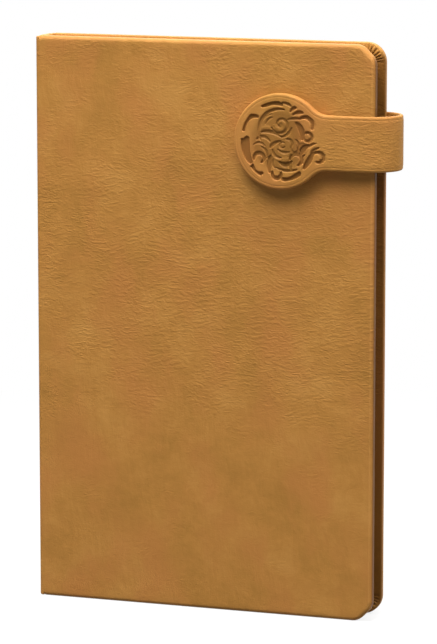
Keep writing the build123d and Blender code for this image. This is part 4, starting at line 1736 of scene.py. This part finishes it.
@dataclass
class Studio:
    """Camera at the photograph's angle, soft light from above and a white floor."""

    azimuth: float = 19.40
    elevation: float = 9.21
    distance: float = 1.3239
    lens: float = 201.7
    target: tuple[float, float, float] = (-0.0041, 0.00085, 0.105)
    aside: float = 0.003154
    lift: float = 0.00099
    ambient: float = 0.03
    floor_size: float = 14.0
    floor_bounce: float = 0.16
    floor_paint: float = 0.9
    floor_white: float = 0.80
    shadow_reach: float = 0.45
    lights: tuple[Softbox, ...] = (
        Softbox("left", (-0.430, -0.688, 1.332), 0.60, 12.0, (1.0, 0.99, 0.97)),
        Softbox("right", (0.707, -0.477, 1.303), 0.70, 10.0, (1.0, 0.99, 0.97)),
        Softbox("front", (-0.08, -0.764, 1.36), 0.72, 3.0, (1.0, 0.99, 0.97)),
        Softbox("fore_edge", (1.170, 0.206, 0.962), 0.70, 9.5, (1.0, 0.99, 0.97)),
        Softbox("overhead", (-0.061, -0.345, 1.537), 0.75, 28.0, (1.0, 0.99, 0.97)),
        Softbox("back_fill", (-0.247, 1.163, 1.201), 0.9, 15.0, (1.0, 0.99, 0.98)),
    )

    def axes(self) -> tuple[Vector, Vector, Vector]:
        """The camera's right, up and backward directions."""
        around, above = math.radians(self.azimuth), math.radians(self.elevation)
        right = Vector((math.cos(around), math.sin(around), 0))
        back = Vector((math.sin(around) * math.cos(above), -math.cos(around) * math.cos(above),
                       math.sin(above)))
        return right, back.cross(right), back

    def camera(self) -> None:
        """Places the camera."""
        right, up, back = self.axes()
        aim = Vector(self.target) + self.aside * right + self.lift * up
        data = bpy.data.cameras.new("camera")
        data.lens = self.lens
        camera = bpy.data.objects.new("camera", data)
        turn = Matrix((right, up, back)).transposed().to_4x4()
        camera.matrix_world = Matrix.Translation(aim + back * self.distance) @ turn
        bpy.context.scene.collection.objects.link(camera)
        bpy.context.scene.camera = camera

    def lamps(self) -> None:
        """Hangs the soft lights, all turned to the diary."""
        for box in self.lights:
            data = bpy.data.lights.new(box.name, "AREA")
            data.shape = "SQUARE"
            data.size = box.side
            data.energy = box.power
            data.color = box.colour
            lamp = bpy.data.objects.new(box.name, data)
            lamp.location = box.place
            aim = Vector(self.target) - Vector(box.place)
            lamp.rotation_euler = aim.to_track_quat("-Z", "Y").to_euler()
            bpy.context.scene.collection.objects.link(lamp)

    @staticmethod
    def seen(tree: bpy.types.NodeTree) -> bpy.types.NodeSocket:
        """1 for what the camera, gloss or glass sees, 0 for light on surfaces.

        Args:
            tree: The node tree to add to.

        Returns:
            The output that tells them apart.
        """
        path = tree.nodes.new("ShaderNodeLightPath")
        total = path.outputs["Is Camera Ray"]
        for ray in ("Is Glossy Ray", "Is Transmission Ray"):
            larger = tree.nodes.new("ShaderNodeMath")
            larger.operation = "MAXIMUM"
            tree.links.new(total, larger.inputs[0])
            tree.links.new(path.outputs[ray], larger.inputs[1])
            total = larger.outputs["Value"]
        return total

    @staticmethod
    def mixed(tree: bpy.types.NodeTree, share: bpy.types.NodeSocket, first: bpy.types.NodeSocket,
              second: bpy.types.NodeSocket) -> bpy.types.NodeSocket:
        """Two shaders mixed by a share.

        Args:
            tree: The node tree to add to.
            share: 0 for the first shader, 1 for the second.
            first, second: The shaders.

        Returns:
            The mixed shader.
        """
        mix = tree.nodes.new("ShaderNodeMixShader")
        for place, output in enumerate((share, first, second)):
            tree.links.new(output, mix.inputs[place])
        return mix.outputs["Shader"]

    def world(self) -> None:
        """A white surrounding that lights the diary only softly."""
        world = bpy.data.worlds.new("white_room")
        world.use_nodes = True
        tree = world.node_tree
        light = tree.nodes["Background"]
        light.inputs["Strength"].default_value = self.ambient
        light.inputs["Color"].default_value = (1.0, 1.0, 1.0, 1.0)
        shown = tree.nodes.new("ShaderNodeBackground")
        shown.inputs["Color"].default_value = (1.0, 1.0, 1.0, 1.0)
        surface = self.mixed(tree, self.seen(tree), light.outputs["Background"], shown.outputs["Background"])
        tree.links.new(surface, tree.nodes["World Output"].inputs["Surface"])
        bpy.context.scene.world = world

    def floor(self) -> None:
        """A white floor that keeps a faint shadow of the diary."""
        half = self.floor_size / 2
        mesh = bpy.data.meshes.new("floor")
        mesh.from_pydata([(-half, -half, 0), (half, -half, 0), (half, half, 0), (-half, half, 0)], [], [(0, 1, 2, 3)])
        material = bpy.data.materials.new("white_floor")
        material.use_nodes = True
        tree = material.node_tree
        tree.nodes.remove(tree.nodes["Principled BSDF"])
        paints = []
        for grey in (self.floor_bounce, self.floor_paint):
            paint = tree.nodes.new("ShaderNodeBsdfDiffuse")
            paint.inputs["Color"].default_value = (grey, grey, grey, 1.0)
            paints.append(paint.outputs["BSDF"])
        glow = tree.nodes.new("ShaderNodeEmission").outputs["Emission"]
        place = tree.nodes.new("ShaderNodeTexCoord")
        away = tree.nodes.new("ShaderNodeVectorMath")
        away.operation = "LENGTH"
        tree.links.new(place.outputs["Object"], away.inputs[0])
        fade = tree.nodes.new("ShaderNodeMapRange")
        fade.interpolation_type = "SMOOTHSTEP"
        for name, value in (("From Max", self.shadow_reach), ("To Min", self.floor_white), ("To Max", 1.0)):
            fade.inputs[name].default_value = value
        tree.links.new(away.outputs["Value"], fade.inputs["Value"])
        shown = self.mixed(tree, fade.outputs["Result"], paints[1], glow)
        surface = self.mixed(tree, self.seen(tree), paints[0], shown)
        tree.links.new(surface, tree.nodes["Material Output"].inputs["Surface"])
        mesh.materials.append(material)
        floor = bpy.data.objects.new("floor", mesh)
        bpy.context.scene.collection.objects.link(floor)

    def build(self) -> None:
        """Sets up camera, lights, surroundings and floor."""
        bpy.context.scene.view_settings.view_transform = "Standard"
        self.camera()
        self.lamps()
        self.world()
        self.floor()


def main() -> None:
    """Builds the diary piece by piece, then the studio round it."""
    logging.basicConfig(level=logging.INFO, format="%(name)s %(message)s")
    book = Book.from_frame()
    leather = LeatherFinish().material()
    lining = LeatherFinish("strap_lining", dark=srgb(114, 70, 32), middle=srgb(130, 84, 40),
                           light=srgb(144, 97, 50), red=srgb(126, 74, 38), roughness=0.7).material()
    pages = PageFinish().material(book.page_fore_x, book.page_spine_x)
    endpaper = PageFinish("endpaper", srgb(236, 224, 198), srgb(226, 212, 182), ruled=False)
    strap = StrapClasp.from_frame(leather, lining)
    LeatherCase(book, leather).build(strap.slit_box())
    strap.build()
    PaperBlock(book, pages, endpaper.material(book.page_fore_x, book.page_spine_x),
               BandFinish().material()).build()
    foam = PlainFinish("soft_foam", srgb(206, 202, 190), srgb(222, 218, 208), 0.95, 1.0, 0.06)
    CoverFoam(book, foam.material()).build()
    HiddenParts().build()
    Studio().build()


if __name__ == "__main__":
    main()
